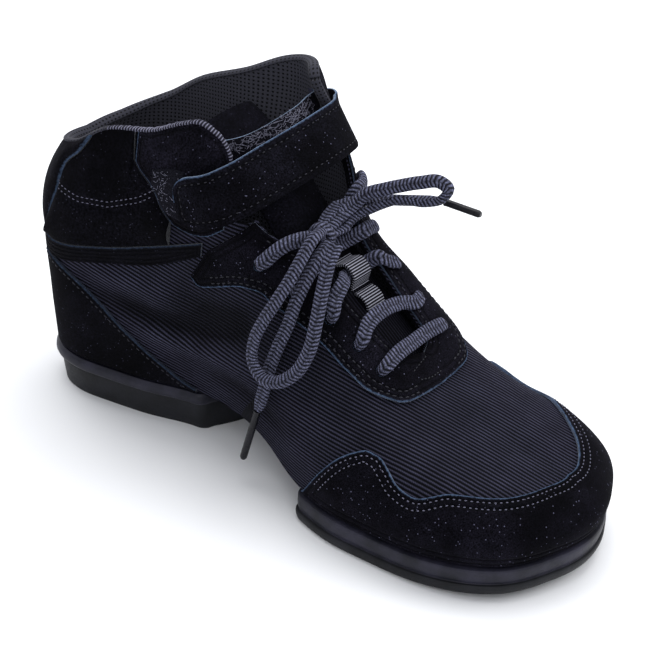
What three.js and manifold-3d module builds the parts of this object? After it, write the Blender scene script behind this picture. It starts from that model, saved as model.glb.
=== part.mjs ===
// Dance sneaker, right shoe, in millimetres. +Z up, +Y to the toe, +X to the outer side.
import * as THREE from 'three';
import { mergeVertices } from 'three/addons/utils/BufferGeometryUtils.js';
import Module from 'manifold-3d';

// Driving dimensions of the last
const shoeLength = 258;
const ballWidth = 101.5;
const heelWidth = 64.5;
const collarHeight = 149;
const instepHeight = 107;
const toeHeight = 42;
const toeLean = 3;
const heelCentreShare = 0.132;
const heelSwing = 25;
const swingStart = 0.65;

// Driving dimensions of the soles
const heelHeight = 20;
const foreThickness = 12.8;
const toeSpring = 5;
const archLift = 3;
const foreFlange = 3;
const heelFlange = 2.6;
const lipHeight = 5;
const insoleThickness = 3;

// Driving dimensions of the upper and its pieces
const wall = 2.2;
const gap = 0.45;
const suede = 1.3;

// Sections of the last, from the back of the heel along one side to the tip of the toe.
// at: place of the section's pivot on the centre line, share of shoeLength
// turn: direction of the section in plan, in degrees, 0 to the side and 90 to the toe
// foot, bulge, waist, shoulder: distance from the pivot, share of the width given by span
// bulgeUp, waistUp, shoulderUp, crown: height above the floor, share of the height given by rise
const outerSections = [
  { at: 0.132, turn: -90, span: heelWidth, rise: collarHeight, foot: 0.477, bulge: 0.523, bulgeUp: 0.32,
    waist: 0.568, waistUp: 0.585, shoulder: 0.394, shoulderUp: 0.786, crown: 0.93 },
  { at: 0.132, turn: -60, span: heelWidth, rise: collarHeight, foot: 0.47, bulge: 0.515, bulgeUp: 0.32,
    waist: 0.553, waistUp: 0.586, shoulder: 0.41, shoulderUp: 0.81, crown: 1.0 },
  { at: 0.134, turn: -30, span: heelWidth, rise: collarHeight, foot: 0.462, bulge: 0.508, bulgeUp: 0.32,
    waist: 0.53, waistUp: 0.6, shoulder: 0.424, shoulderUp: 0.87, crown: 1.1 },
  { at: 0.15, turn: -6, span: heelWidth, rise: collarHeight, foot: 0.455, bulge: 0.5, bulgeUp: 0.32,
    waist: 0.508, waistUp: 0.61, shoulder: 0.42, shoulderUp: 0.94, crown: 1.25 },
  { at: 0.225, turn: 0, span: heelWidth, rise: collarHeight, foot: 0.447, bulge: 0.508, bulgeUp: 0.33,
    waist: 0.485, waistUp: 0.614, shoulder: 0.424, shoulderUp: 0.99, crown: 1.5 },
  { at: 0.31, turn: 0, span: heelWidth, rise: collarHeight, foot: 0.39, bulge: 0.495, bulgeUp: 0.315,
    waist: 0.5, waistUp: 0.557, shoulder: 0.432, shoulderUp: 1.0, crown: 1.45 },
  { at: 0.388, turn: 0, span: ballWidth, rise: instepHeight, foot: 0.275, bulge: 0.35, bulgeUp: 0.44,
    waist: 0.335, waistUp: 0.74, shoulder: 0.22, shoulderUp: 1.23, crown: 1.44 },
  { at: 0.473, turn: 0, span: ballWidth, rise: instepHeight, foot: 0.345, bulge: 0.385, bulgeUp: 0.38,
    waist: 0.345, waistUp: 0.64, shoulder: 0.195, shoulderUp: 0.935, crown: 0.985 },
  { at: 0.562, turn: 0, span: ballWidth, rise: instepHeight, foot: 0.445, bulge: 0.468, bulgeUp: 0.32,
    waist: 0.375, waistUp: 0.545, shoulder: 0.19, shoulderUp: 0.77, crown: 0.8 },
  { at: 0.651, turn: 0, span: ballWidth, rise: instepHeight, foot: 0.51, bulge: 0.523, bulgeUp: 0.28,
    waist: 0.425, waistUp: 0.465, shoulder: 0.205, shoulderUp: 0.608, crown: 0.633 },
  { at: 0.721, turn: 4, span: ballWidth, rise: toeHeight, foot: 0.515, bulge: 0.53, bulgeUp: 0.66,
    waist: 0.44, waistUp: 1.025, shoulder: 0.21, shoulderUp: 1.25, crown: 1.3 },
  { at: 0.783, turn: 14, span: ballWidth, rise: toeHeight, foot: 0.51, bulge: 0.525, bulgeUp: 0.66,
    waist: 0.43, waistUp: 0.94, shoulder: 0.21, shoulderUp: 1.09, crown: 1.145 },
  { at: 0.829, turn: 32, span: ballWidth, rise: toeHeight, foot: 0.46, bulge: 0.475, bulgeUp: 0.675,
    waist: 0.39, waistUp: 0.9, shoulder: 0.19, shoulderUp: 1.015, crown: 1.06 },
  { at: 0.86, turn: 58, span: ballWidth, rise: toeHeight, foot: 0.345, bulge: 0.36, bulgeUp: 0.69,
    waist: 0.295, waistUp: 0.875, shoulder: 0.15, shoulderUp: 0.965, crown: 1.01 },
  { at: 0.872, turn: 90, span: ballWidth, rise: toeHeight, foot: 0.3, bulge: 0.315, bulgeUp: 0.7,
    waist: 0.25, waistUp: 0.875, shoulder: 0.125, shoulderUp: 0.955, crown: 0.995 },
];

// The inner side has the same pivots and crowns; only its widths and heights differ
const innerSections = [
  { foot: 0.467, bulge: 0.51, bulgeUp: 0.32, waist: 0.55, waistUp: 0.586, shoulder: 0.41, shoulderUp: 0.81 },
  { foot: 0.455, bulge: 0.497, bulgeUp: 0.32, waist: 0.523, waistUp: 0.6, shoulder: 0.432, shoulderUp: 0.87 },
  { foot: 0.44, bulge: 0.485, bulgeUp: 0.32, waist: 0.5, waistUp: 0.614, shoulder: 0.44, shoulderUp: 0.94 },
  { foot: 0.424, bulge: 0.485, bulgeUp: 0.33, waist: 0.477, waistUp: 0.614, shoulder: 0.47, shoulderUp: 0.99 },
  { foot: 0.41, bulge: 0.485, bulgeUp: 0.315, waist: 0.477, waistUp: 0.557, shoulder: 0.53, shoulderUp: 1.05 },
  { foot: 0.27, bulge: 0.33, bulgeUp: 0.42, waist: 0.32, waistUp: 0.74, shoulder: 0.235, shoulderUp: 1.33 },
  { foot: 0.295, bulge: 0.35, bulgeUp: 0.36, waist: 0.335, waistUp: 0.63, shoulder: 0.21, shoulderUp: 0.952 },
  { foot: 0.37, bulge: 0.405, bulgeUp: 0.31, waist: 0.362, waistUp: 0.54, shoulder: 0.208, shoulderUp: 0.788 },
  { foot: 0.445, bulge: 0.465, bulgeUp: 0.27, waist: 0.4, waistUp: 0.46, shoulder: 0.215, shoulderUp: 0.62 },
  { foot: 0.47, bulge: 0.49, bulgeUp: 0.65, waist: 0.42, waistUp: 1.0, shoulder: 0.21, shoulderUp: 1.24 },
  { foot: 0.475, bulge: 0.493, bulgeUp: 0.65, waist: 0.42, waistUp: 0.93, shoulder: 0.21, shoulderUp: 1.085 },
  { foot: 0.435, bulge: 0.45, bulgeUp: 0.67, waist: 0.375, waistUp: 0.895, shoulder: 0.185, shoulderUp: 1.015 },
  { foot: 0.335, bulge: 0.35, bulgeUp: 0.69, waist: 0.285, waistUp: 0.875, shoulder: 0.145, shoulderUp: 0.965 },
];

const tip = outerSections.length - 1;
const ring = 2 * tip;

// One row of the ring in real sizes
function sizedRow(index) {
  const place = ((index % ring) + ring) % ring;
  const inner = place > tip;
  const own = inner ? ring - place : place;
  const base = outerSections[own];
  const side = inner ? innerSections[own - 1] : base;
  let heading = inner ? 180 - base.turn : base.turn;
  heading += 360 * Math.floor(index / ring);
  return [
    base.at * shoeLength, heading, side.foot * base.span, side.bulge * base.span, side.bulgeUp * base.rise,
    side.waist * base.span, side.waistUp * base.rise, side.shoulder * base.span,
    side.shoulderUp * base.rise, base.crown * base.rise,
  ];
}

// Cubic through four even-spaced values, share is 0 to 1 between b and c
function cubic(a, b, c, d, share) {
  const slopeB = (c - a) / 2;
  const slopeC = (d - b) / 2;
  const s2 = share * share;
  const s3 = s2 * share;
  return (2 * s3 - 3 * s2 + 1) * b + (s3 - 2 * s2 + share) * slopeB
    + (3 * s2 - 2 * s3) * c + (s3 - s2) * slopeC;
}

// Row of the ring at any station, whole numbers are the rows of the table
function rowAt(station) {
  const low = Math.floor(station);
  const share = station - low;
  const rows = [-1, 0, 1, 2].map((step) => sizedRow(low + step));
  return rows[0].map((value, i) => cubic(value, rows[1][i], rows[2][i], rows[3][i], share));
}

// Height of the upper's lower edge above the floor
const archStart = 0.3;
const archEnd = 0.6;
const springStart = 0.72;
function smooth(share) {
  const s = Math.min(1, Math.max(0, share));
  return s * s * (3 - 2 * s);
}
function footUp(y) {
  const along = y / shoeLength;
  const share = (along - archStart) / (archEnd - archStart);
  const level = heelHeight + (foreThickness - heelHeight) * smooth(share);
  const arch = archLift * Math.sin(Math.PI * Math.min(1, Math.max(0, share))) ** 2;
  return level + arch + springUp(y);
}
function springUp(y) {
  const share = Math.max(0, (y / shoeLength - springStart) / (1 - springStart));
  return toeSpring * share ** 1.8;
}

// Plan place of a station's pivot: the centre line swings inwards towards the toe
function pivotX(y) {
  return -toeLean * smooth((y / shoeLength - 0.6) / 0.3);
}

// Sideways swing of the heel: the shoe curves outwards from the ball back to the heel
function swing(y) {
  const share = Math.max(0, 1 - y / (swingStart * shoeLength));
  return heelSwing * share ** 2;
}

// Meridian of the last at a station: samples of distance from the pivot, height and girth
const meridians = new Map();
const meridianSteps = 60;
function meridian(station) {
  const key = Math.round(station * 1e6);
  if (meridians.has(key)) {
    return meridians.get(key);
  }
  const [y, heading, foot, bulge, bulgeUp, waist, waistUp, shoulder, shoulderUp, crown] = rowAt(station);
  const angle = THREE.MathUtils.degToRad(heading);
  const footY = y + foot * Math.sin(angle);
  const knots = [[foot, footUp(footY)], [bulge, bulgeUp], [waist, waistUp], [shoulder, shoulderUp], [0, crown]];
  const times = [0];
  for (let i = 1; i < knots.length; i += 1) {
    times.push(times[i - 1] + Math.hypot(knots[i][0] - knots[i - 1][0], knots[i][1] - knots[i - 1][1]));
  }
  const slopes = knots.map((knot, i) => [0, 1].map((axis) => {
    if (i === 0) {
      return (knots[1][axis] - knot[axis]) / (times[1] - times[0]);
    }
    if (i === knots.length - 1) {
      return axis === 0 ? -1 : -ridgeSlope(station) * Math.sin(angle);
    }
    const before = (knot[axis] - knots[i - 1][axis]) / (times[i] - times[i - 1]);
    const after = (knots[i + 1][axis] - knot[axis]) / (times[i + 1] - times[i]);
    const whole = times[i + 1] - times[i - 1];
    return (before * (times[i + 1] - times[i]) + after * (times[i] - times[i - 1])) / whole;
  }));
  const samples = [];
  for (let step = 0; step <= meridianSteps; step += 1) {
    const time = (times[times.length - 1] * step) / meridianSteps;
    let i = 0;
    while (i < knots.length - 2 && time > times[i + 1]) {
      i += 1;
    }
    const span = times[i + 1] - times[i];
    const s = (time - times[i]) / span;
    const point = [0, 1].map((axis) => {
      const a = knots[i][axis];
      const b = knots[i + 1][axis];
      const s2 = s * s;
      const s3 = s2 * s;
      return (2 * s3 - 3 * s2 + 1) * a + (s3 - 2 * s2 + s) * span * slopes[i][axis]
        + (3 * s2 - 2 * s3) * b + (s3 - s2) * span * slopes[i + 1][axis];
    });
    const last = samples[samples.length - 1];
    const girth = last ? last.girth + Math.hypot(point[0] - last.out, point[1] - last.up) : 0;
    samples.push({ out: point[0], up: point[1], girth });
  }
  const result = { x: pivotX(y), y, angle, samples, reach: samples[meridianSteps].girth };
  meridians.set(key, result);
  return result;
}

// Slope of the ridge line along the shoe at a station
function ridgeSlope(station) {
  const fold = Math.abs((((station % ring) + ring) % ring) - tip);
  const place = Math.min(tip - fold, tip - 0.1);
  const before = rowAt(place - 0.02);
  const after = rowAt(place + 0.02);
  return (after[9] - before[9]) / Math.max(0.01, after[0] - before[0]);
}

// Point of the last at a station and girth; past the ridge it goes on down the other side
function lastPoint(station, girth) {
  const line = meridian(station);
  if (girth > line.reach + 1e-9) {
    const other = meridian(ring - station);
    return lastPoint(ring - station, other.reach - (girth - line.reach));
  }
  const samples = line.samples;
  let i = 0;
  while (i < samples.length - 2 && girth > samples[i + 1].girth) {
    i += 1;
  }
  const a = samples[i];
  const b = samples[i + 1];
  const share = (girth - a.girth) / (b.girth - a.girth);
  const out = a.out + (b.out - a.out) * share;
  const up = a.up + (b.up - a.up) * share;
  const y = line.y + out * Math.sin(line.angle);
  return new THREE.Vector3(line.x + out * Math.cos(line.angle) + swing(y), y, up);
}

// Outward normal of the last
function lastNormal(station, girth) {
  const line = meridian(station);
  if (girth > line.reach - 0.2) {
    return new THREE.Vector3(0, -ridgeSlope(station), 1).normalize();
  }
  const along = lastPoint(station + 0.03, girth).sub(lastPoint(station - 0.03, girth));
  const up = lastPoint(station, Math.min(line.reach, girth + 0.7)).sub(lastPoint(station, Math.max(0, girth - 0.7)));
  return along.cross(up).normalize();
}

// Point of a surface that lies off the last by a distance, outwards or, below zero, inwards
function offPoint(station, girth, off) {
  return lastPoint(station, girth).addScaledVector(lastNormal(station, girth), off);
}

// Girth at which the meridian first reaches a height
function girthAt(station, up) {
  const samples = meridian(station).samples;
  for (let i = 1; i < samples.length; i += 1) {
    if (samples[i].up >= up) {
      const a = samples[i - 1];
      const b = samples[i];
      return a.girth + ((b.girth - a.girth) * (up - a.up)) / (b.up - a.up);
    }
  }
  return meridian(station).reach;
}

// Value of a table's column at a station, smooth through its rows
function tableAt(table, column, station) {
  const count = table.length;
  if (station <= table[0].station) {
    return table[0][column];
  }
  if (station >= table[count - 1].station) {
    return table[count - 1][column];
  }
  let i = 0;
  while (station > table[i + 1].station) {
    i += 1;
  }
  const slope = (k) => {
    if (k === 0 || k === count - 1) {
      const from = Math.max(0, k - 1);
      const to = Math.min(count - 1, k + 1);
      return (table[to][column] - table[from][column]) / (table[to].station - table[from].station);
    }
    const before = (table[k][column] - table[k - 1][column]) / (table[k].station - table[k - 1].station);
    const after = (table[k + 1][column] - table[k][column]) / (table[k + 1].station - table[k].station);
    return before * after <= 0 ? 0 : (2 * before * after) / (before + after);
  };
  const a = table[i];
  const b = table[i + 1];
  const span = b.station - a.station;
  const s = (station - a.station) / span;
  const s2 = s * s;
  const s3 = s2 * s;
  return (2 * s3 - 3 * s2 + 1) * a[column] + (s3 - 2 * s2 + s) * span * slope(i)
    + (3 * s2 - 2 * s3) * b[column] + (s3 - s2) * span * slope(i + 1);
}

const mergeCell = 0.01;

// Mesh builder: points are merged, faces that collapse are dropped, the body is turned outwards
class Body {
  constructor() {
    this.points = [];
    this.keys = new Map();
    this.faces = [];
  }

  point(p) {
    const cell = [p.x, p.y, p.z].map((value) => Math.round(value / mergeCell));
    for (let k = 0; k < 27; k += 1) {
      const near = [cell[0] + (k % 3) - 1, cell[1] + (Math.floor(k / 3) % 3) - 1, cell[2] + Math.floor(k / 9) - 1];
      const found = this.keys.get(near.join(','));
      if (found !== undefined && this.points[found].distanceTo(p) < mergeCell) {
        return found;
      }
    }
    this.keys.set(cell.join(','), this.points.length);
    this.points.push(p.clone());
    return this.points.length - 1;
  }

  face(a, b, c) {
    if (a !== b && b !== c && a !== c) {
      this.faces.push([a, b, c]);
    }
  }

  quad(a, b, c, d) {
    this.face(a, b, c);
    this.face(a, c, d);
  }

  // Sheet of quads over a grid of point numbers; turned sheets face the other way
  sheet(grid, turned = false) {
    for (let i = 0; i + 1 < grid.length; i += 1) {
      for (let j = 0; j + 1 < grid[i].length; j += 1) {
        const [a, b, c, d] = [grid[i][j], grid[i + 1][j], grid[i + 1][j + 1], grid[i][j + 1]];
        if (turned) {
          this.quad(a, d, c, b);
        } else {
          this.quad(a, b, c, d);
        }
      }
    }
  }

  geometry() {
    let volume = 0;
    for (const [a, b, c] of this.faces) {
      volume += this.points[a].dot(this.points[b].clone().cross(this.points[c]));
    }
    const order = volume < 0 ? [0, 2, 1] : [0, 1, 2];
    const geometry = new THREE.BufferGeometry();
    const flat = this.points.flatMap((p) => [p.x, p.y, p.z]);
    geometry.setAttribute('position', new THREE.Float32BufferAttribute(flat, 3));
    geometry.setIndex(this.faces.flatMap((face) => order.map((k) => face[k])));
    return geometry;
  }
}

const wasm = await Module();
wasm.setup();

function solidOf(geometry) {
  const bare = geometry.clone();
  bare.deleteAttribute('normal');
  bare.deleteAttribute('uv');
  const merged = mergeVertices(bare, 1e-4);
  return new wasm.Manifold(new wasm.Mesh({
    numProp: 3,
    vertProperties: new Float32Array(merged.attributes.position.array),
    triVerts: new Uint32Array(merged.index.array),
  }));
}

function geometryOf(solid) {
  const mesh = solid.getMesh();
  const geometry = new THREE.BufferGeometry();
  geometry.setAttribute('position', new THREE.BufferAttribute(new Float32Array(mesh.vertProperties), 3));
  geometry.setIndex(Array.from(mesh.triVerts));
  return geometry;
}

const shoe = new THREE.Group();
const heelCentre = heelCentreShare * shoeLength;
shoe.position.set(-swing(heelCentre), -heelCentre, 0);

function addPiece(name, geometry, look) {
  const material = new THREE.MeshStandardMaterial(look);
  const mesh = new THREE.Mesh(geometry, material);
  mesh.name = name;
  shoe.add(mesh);
  return mesh;
}

const suedeLook = { color: 0x17161b, roughness: 0.95, metalness: 0 };
const canvasLook = { color: 0x1f1f29, roughness: 0.9, metalness: 0 };
const rubberLook = { color: 0x3a3b42, roughness: 0.6, metalness: 0 };
const laceLook = { color: 0x5f5d6f, roughness: 0.9, metalness: 0 };
const liningLook = { color: 0x26262c, roughness: 0.95, metalness: 0 };

// Stations at which every piece on the last has its cuts, so that their facets lie parallel
const throatStation = 9.1;
const eyestayRear = 5.06;
const eyestayFront = 9.78;
const baseCuts = [
  0, 0.5, 1, 1.5, 1.9, 2.3, 2.78, 2.86, 3.25, 3.6, 3.66, 3.72, 4.1, 4.5, 4.8, eyestayRear, 5.25, 5.4, 5.55, 5.7, 5.85, 6.05,
  6.28, 6.5, 6.75, 7, 7.3, 7.6, 7.9, 8.2, 8.5, 8.78, 8.95, 9.05, throatStation, 9.3, 9.5, 9.66, 9.74, eyestayFront,
  10, 10.3, 10.6, 10.9, 11.3, 11.7, 12.1, 12.5, 12.9, 13.3, 13.65, 14,
];
function cutsBetween(from, to) {
  const all = [];
  for (let turn = -1; turn <= 1; turn += 1) {
    for (const cut of baseCuts) {
      all.push(turn * ring + cut);
      all.push((turn + 1) * ring - cut);
    }
  }
  all.push(from, to);
  const inside = [...new Set(all.map((s) => Math.round(s * 1e6) / 1e6))].filter((s) => s >= from && s <= to);
  inside.sort((a, b) => a - b);
  return inside;
}

// Collar line from the back of the heel to the throat, shares of collarHeight above the floor
const collarEnd = 6.28;
const collarLine = [
  { station: 0, outer: 0.775, inner: 0.775 },
  { station: 1, outer: 0.79, inner: 0.79 },
  { station: 2.26, outer: 0.835, inner: 0.85 },
  { station: 3.16, outer: 0.907, inner: 0.93 },
  { station: 3.94, outer: 0.935, inner: 0.985 },
  { station: 4.6, outer: 0.985, inner: 1.04 },
  { station: 4.9, outer: 1.0, inner: 1.055 },
  { station: 5.25, outer: 0.978, inner: 1.068 },
  { station: 5.55, outer: 0.925, inner: 1.075 },
  { station: 5.7, outer: 0.84, inner: 1.06 },
  { station: 5.85, outer: 0.762, inner: 0.965 },
  { station: 6.05, outer: 0.747, inner: 0.87 },
  { station: collarEnd, outer: 0.768, inner: 0.79 },
];

// Half width of the throat from the centre line along the girth, shares of ballWidth
const throatLine = [
  { station: collarEnd, outer: 0.385, inner: 0.31 },
  { station: 6.76, outer: 0.25, inner: 0.215 },
  { station: 7.18, outer: 0.155, inner: 0.125 },
  { station: 7.78, outer: 0.15, inner: 0.095 },
  { station: 8.32, outer: 0.135, inner: 0.085 },
  { station: 8.78, outer: 0.113, inner: 0.08 },
  { station: 8.95, outer: 0.09, inner: 0.068 },
  { station: 9.05, outer: 0.055, inner: 0.045 },
  { station: throatStation, outer: 0, inner: 0 },
];

function sideOf(station) {
  const place = ((station % ring) + ring) % ring;
  return place > tip ? { name: 'inner', own: ring - place } : { name: 'outer', own: place };
}

// Top edge of the upper: collar, then throat, then the ridge where both sides join
function topGirth(station) {
  const { name, own } = sideOf(station);
  if (own <= collarEnd + 1e-6) {
    return girthAt(station, tableAt(collarLine, name, own) * collarHeight);
  }
  const reach = meridian(station).reach;
  return own >= throatStation - 1e-6 ? reach : reach - tableAt(throatLine, name, own) * ballWidth;
}

// Upper: one hollow wall all round, open at collar, throat, heel seat and forefoot, closed under the arch
const upperRows = [0, 0.08, 0.17, 0.26, 0.36, 0.46, 0.57, 0.69, 0.84, 1];
const seatFront = 5.25;
const forefootRear = 8.2;
function upperGeometry() {
  const body = new Body();
  const cuts = cutsBetween(0, ring);
  cuts.pop();
  const inArch = (station) => {
    const own = sideOf(station).own;
    return own >= seatFront - 1e-6 && own <= forefootRear + 1e-6;
  };
  const outer = [];
  const inner = [];
  for (const station of cuts) {
    const top = topGirth(station);
    const foot = inArch(station) ? wall : 0;
    outer.push(upperRows.map((share) => body.point(offPoint(station, top * share, 0))));
    inner.push(upperRows.map((share) => {
      const p = offPoint(station, foot + (top - foot) * share, -wall);
      if (foot > 0 && share === 0) {
        p.z = footUp(p.y) + wall;
      }
      return body.point(p);
    }));
  }
  outer.push(outer[0]);
  inner.push(inner[0]);
  cuts.push(ring);
  body.sheet(outer);
  body.sheet(inner, true);
  const top = upperRows.length - 1;
  for (let i = 0; i + 1 < cuts.length; i += 1) {
    const joined = [cuts[i], cuts[i + 1]].every((s) => sideOf(s).own >= throatStation - 1e-6);
    if (!joined) {
      body.quad(outer[i][top], outer[i + 1][top], inner[i + 1][top], inner[i][top]);
    }
    const closed = inArch(cuts[i]) && inArch(cuts[i + 1]);
    if (!closed) {
      body.quad(outer[i][0], inner[i][0], inner[i + 1][0], outer[i + 1][0]);
    }
  }
  // Bottom sheet under the arch, from the outer to the inner side
  const acrossSteps = 4;
  const archCuts = cuts.filter((s) => s <= tip && inArch(s));
  const across = (rows, level) => archCuts.map((station) => {
    const from = body.points[rows[cuts.indexOf(station)][0]];
    const to = body.points[rows[cuts.indexOf(ring - station)][0]];
    const line = [];
    for (let k = 0; k <= acrossSteps; k += 1) {
      line.push(body.point(from.clone().lerp(to, k / acrossSteps)));
    }
    return line;
  });
  const lower = across(outer);
  const upper = across(inner);
  body.sheet(lower, true);
  body.sheet(upper);
  for (const [end, turned] of [[0, true], [archCuts.length - 1, false]]) {
    for (let k = 0; k < acrossSteps; k += 1) {
      const [a, b, c, d] = [lower[end][k], lower[end][k + 1], upper[end][k + 1], upper[end][k]];
      if (turned) {
        body.quad(a, d, c, b);
      } else {
        body.quad(a, b, c, d);
      }
    }
  }
  return body.geometry();
}
const upperMesh = addPiece('upper', upperGeometry(), canvasLook);

// Outline of a sole at a station: the upper's foot line moved outwards in plan
function soleEdge(station, out) {
  const here = lastPoint(station, 0);
  const along = lastPoint(station + 0.05, 0).sub(lastPoint(station - 0.05, 0));
  return new THREE.Vector3(here.x + (along.y * out) / Math.hypot(along.x, along.y),
    here.y - (along.x * out) / Math.hypot(along.x, along.y), 0);
}

const inside = -(wall + gap);
const windowGap = 0.7;
const openBulge = 6;

// Body of a sole: rings at levels from the tread up, each ring made of pairs across the shoe
// and a round end. ends lists the stations of the pairs from the open end to the round one.
function soleGeometry(stations, round, levels) {
  const body = new Body();
  const endSteps = 4;
  const rings = levels.map((level) => {
    const outer = stations.map((s) => soleEdge(s, level.out));
    const inner = stations.map((s) => soleEdge(round === 'toe' ? ring - s : -s, level.out));
    const forward = round === 'toe' ? 1 : -1;
    const back = level.out === inside ? windowGap : 0;
    const bulge = level.out === inside ? 0 : openBulge;
    outer[0].y += forward * back;
    inner[0].y += forward * back;
    const open = [];
    for (let k = 1; k < endSteps; k += 1) {
      const share = k / endSteps;
      const p = inner[0].clone().lerp(outer[0], share);
      p.y -= forward * bulge * Math.sin(Math.PI * share);
      open.push(p);
    }
    for (const p of [...outer, ...inner, ...open]) {
      p.z = level.up(p.y);
    }
    const loop = [...outer, ...inner.slice(0, -1).reverse(), ...open];
    return { outer, inner, open, loop: loop.map((p) => body.point(p)) };
  });
  for (let i = 0; i + 1 < rings.length; i += 1) {
    const low = rings[i].loop;
    const high = rings[i + 1].loop;
    for (let k = 0; k < low.length; k += 1) {
      const next = (k + 1) % low.length;
      body.quad(low[k], low[next], high[next], high[k]);
    }
  }
  const cap = (one, turned) => {
    const pairs = one.outer.map((p, i) => [body.point(p), body.point(one.inner[i])]);
    body.sheet(pairs, turned);
    const fan = [pairs[0][1], ...one.open.map((p) => body.point(p)), pairs[0][0]];
    for (let k = 1; k + 1 < fan.length; k += 1) {
      if (turned) {
        body.face(fan[0], fan[k + 1], fan[k]);
      } else {
        body.face(fan[0], fan[k], fan[k + 1]);
      }
    }
  };
  cap(rings[0], true);
  cap(rings[rings.length - 1], false);
  return body.geometry();
}

const foreLevels = [
  { out: foreFlange - 2.6, up: (y) => springUp(y) },
  { out: foreFlange - 0.2, up: (y) => springUp(y) + 0.28 * lipHeight },
  { out: foreFlange + 0.5, up: (y) => springUp(y) + 0.6 * lipHeight },
  { out: foreFlange + 0.4, up: (y) => springUp(y) + lipHeight },
  { out: foreFlange - 0.9, up: (y) => springUp(y) + lipHeight + 0.6 },
  { out: foreFlange - 0.4, up: (y) => springUp(y) + lipHeight + 1.6 },
  { out: foreFlange, up: (y) => footUp(y) - gap - 1.2 },
  { out: foreFlange - 0.8, up: (y) => footUp(y) - gap },
  { out: inside, up: (y) => footUp(y) - gap },
  { out: inside, up: (y) => footUp(y) + wall },
];
const heelLevels = [
  { out: heelFlange - 5.6, up: () => 0 },
  { out: heelFlange - 4.6, up: () => 1 },
  { out: heelFlange - 2.6, up: () => 0.64 * heelHeight },
  { out: heelFlange - 2.9, up: () => 0.7 * heelHeight },
  { out: heelFlange - 0.6, up: () => 0.74 * heelHeight },
  { out: heelFlange, up: () => 0.83 * heelHeight },
  { out: heelFlange - 0.6, up: () => 0.93 * heelHeight },
  { out: heelFlange - 1.4, up: (y) => footUp(y) - gap },
  { out: inside, up: (y) => footUp(y) - gap },
  { out: inside, up: (y) => footUp(y) + wall },
];
const foreStations = cutsBetween(forefootRear, tip);
const heelStations = cutsBetween(0, seatFront).reverse();
addPiece('outsole_forefoot', soleGeometry(foreStations, 'toe', foreLevels), rubberLook);
addPiece('outsole_heel', soleGeometry(heelStations, 'heel', heelLevels), rubberLook);

// Insole: a thin plate inside, from the heel round to the toe
function insoleGeometry() {
  const body = new Body();
  const cuts = cutsBetween(0, tip);
  const place = (station, rise) => {
    const p = soleEdge(station, -(wall + 2 * gap));
    p.z = footUp(p.y) + wall + gap + rise;
    return body.point(p);
  };
  const pairs = (rise) => cuts.map((s) => [place(s, rise), place(ring - s, rise)]);
  const low = pairs(0);
  const high = pairs(insoleThickness);
  body.sheet(low, true);
  body.sheet(high);
  for (let i = 0; i + 1 < cuts.length; i += 1) {
    body.quad(low[i][0], low[i + 1][0], high[i + 1][0], high[i][0]);
    body.quad(low[i][1], high[i][1], high[i + 1][1], low[i + 1][1]);
  }
  return body.geometry();
}
addPiece('insole', insoleGeometry(), liningLook);

// Piece that lies on the last between a lower and an upper edge, both given as girths
function layerGeometry({ from, to, low, high, rows, under, over }) {
  const body = new Body();
  const cuts = cutsBetween(from, to);
  const grid = (height) => cuts.map((station) => {
    const a = Math.max(0, low(station));
    const b = Math.max(a, Math.min(meridian(station).reach, high(station)));
    const line = [];
    for (let k = 0; k <= rows; k += 1) {
      const share = k / rows;
      line.push(body.point(offPoint(station, a + (b - a) * share, height(station, share))));
    }
    return line;
  });
  const outer = grid(over);
  const inner = grid(under);
  body.sheet(outer);
  body.sheet(inner, true);
  for (let i = 0; i + 1 < cuts.length; i += 1) {
    body.quad(outer[i][0], inner[i][0], inner[i + 1][0], outer[i + 1][0]);
    const joined = [cuts[i], cuts[i + 1]].every((s) => high(s) >= meridian(s).reach - 1e-6);
    if (!joined) {
      body.quad(outer[i][rows], outer[i + 1][rows], inner[i + 1][rows], inner[i][rows]);
    }
  }
  for (const [end, turned] of [[0, false], [cuts.length - 1, true]]) {
    for (let k = 0; k < rows; k += 1) {
      const [a, b, c, d] = [outer[end][k], outer[end][k + 1], inner[end][k + 1], inner[end][k]];
      if (turned) {
        body.quad(a, d, c, b);
      } else {
        body.quad(a, b, c, d);
      }
    }
  }
  return body;
}

// Height of the lower edge of the cap and the counter over the upper's own edge
const lasting = 1.2;
const own = (station) => sideOf(station).own;
const sideName = (station) => sideOf(station).name;
const upAt = (station, table) => girthAt(station, tableAt(table, 'up', own(station)) * collarHeight);
const flat = (off) => () => off;

// Toe cap: waved edge on both sides, as shares of the way from the sole to the centre line
const capEdge = [
  { station: 8.33, outer: 0.01, inner: 0 },
  { station: 8.5, outer: 0.08, inner: 0.02 },
  { station: 8.78, outer: 0.2, inner: 0.14 },
  { station: 9.05, outer: 0.305, inner: 0.27 },
  { station: 9.3, outer: 0.372, inner: 0.36 },
  { station: 9.55, outer: 0.415, inner: 0.41 },
  { station: 9.78, outer: 0.417, inner: 0.41 },
  { station: 10.02, outer: 0.385, inner: 0.38 },
  { station: 10.3, outer: 0.334, inner: 0.355 },
  { station: 10.6, outer: 0.317, inner: 0.37 },
  { station: 11.12, outer: 0.4, inner: 0.45 },
  { station: 11.92, outer: 0.449, inner: 0.53 },
  { station: 13.04, outer: 0.574, inner: 0.58 },
  { station: 14, outer: 0.632, inner: 0.632 },
];
const capRear = 8.33;
addPiece('toe_cap', layerGeometry({
  from: capRear,
  to: ring - capRear,
  low: () => lasting,
  high: (s) => Math.max(lasting + 0.6, tableAt(capEdge, sideName(s), own(s)) * meridian(s).reach),
  rows: 7,
  under: flat(gap + 0.1),
  over: flat(gap + suede),
}).geometry(), suedeLook);

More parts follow.
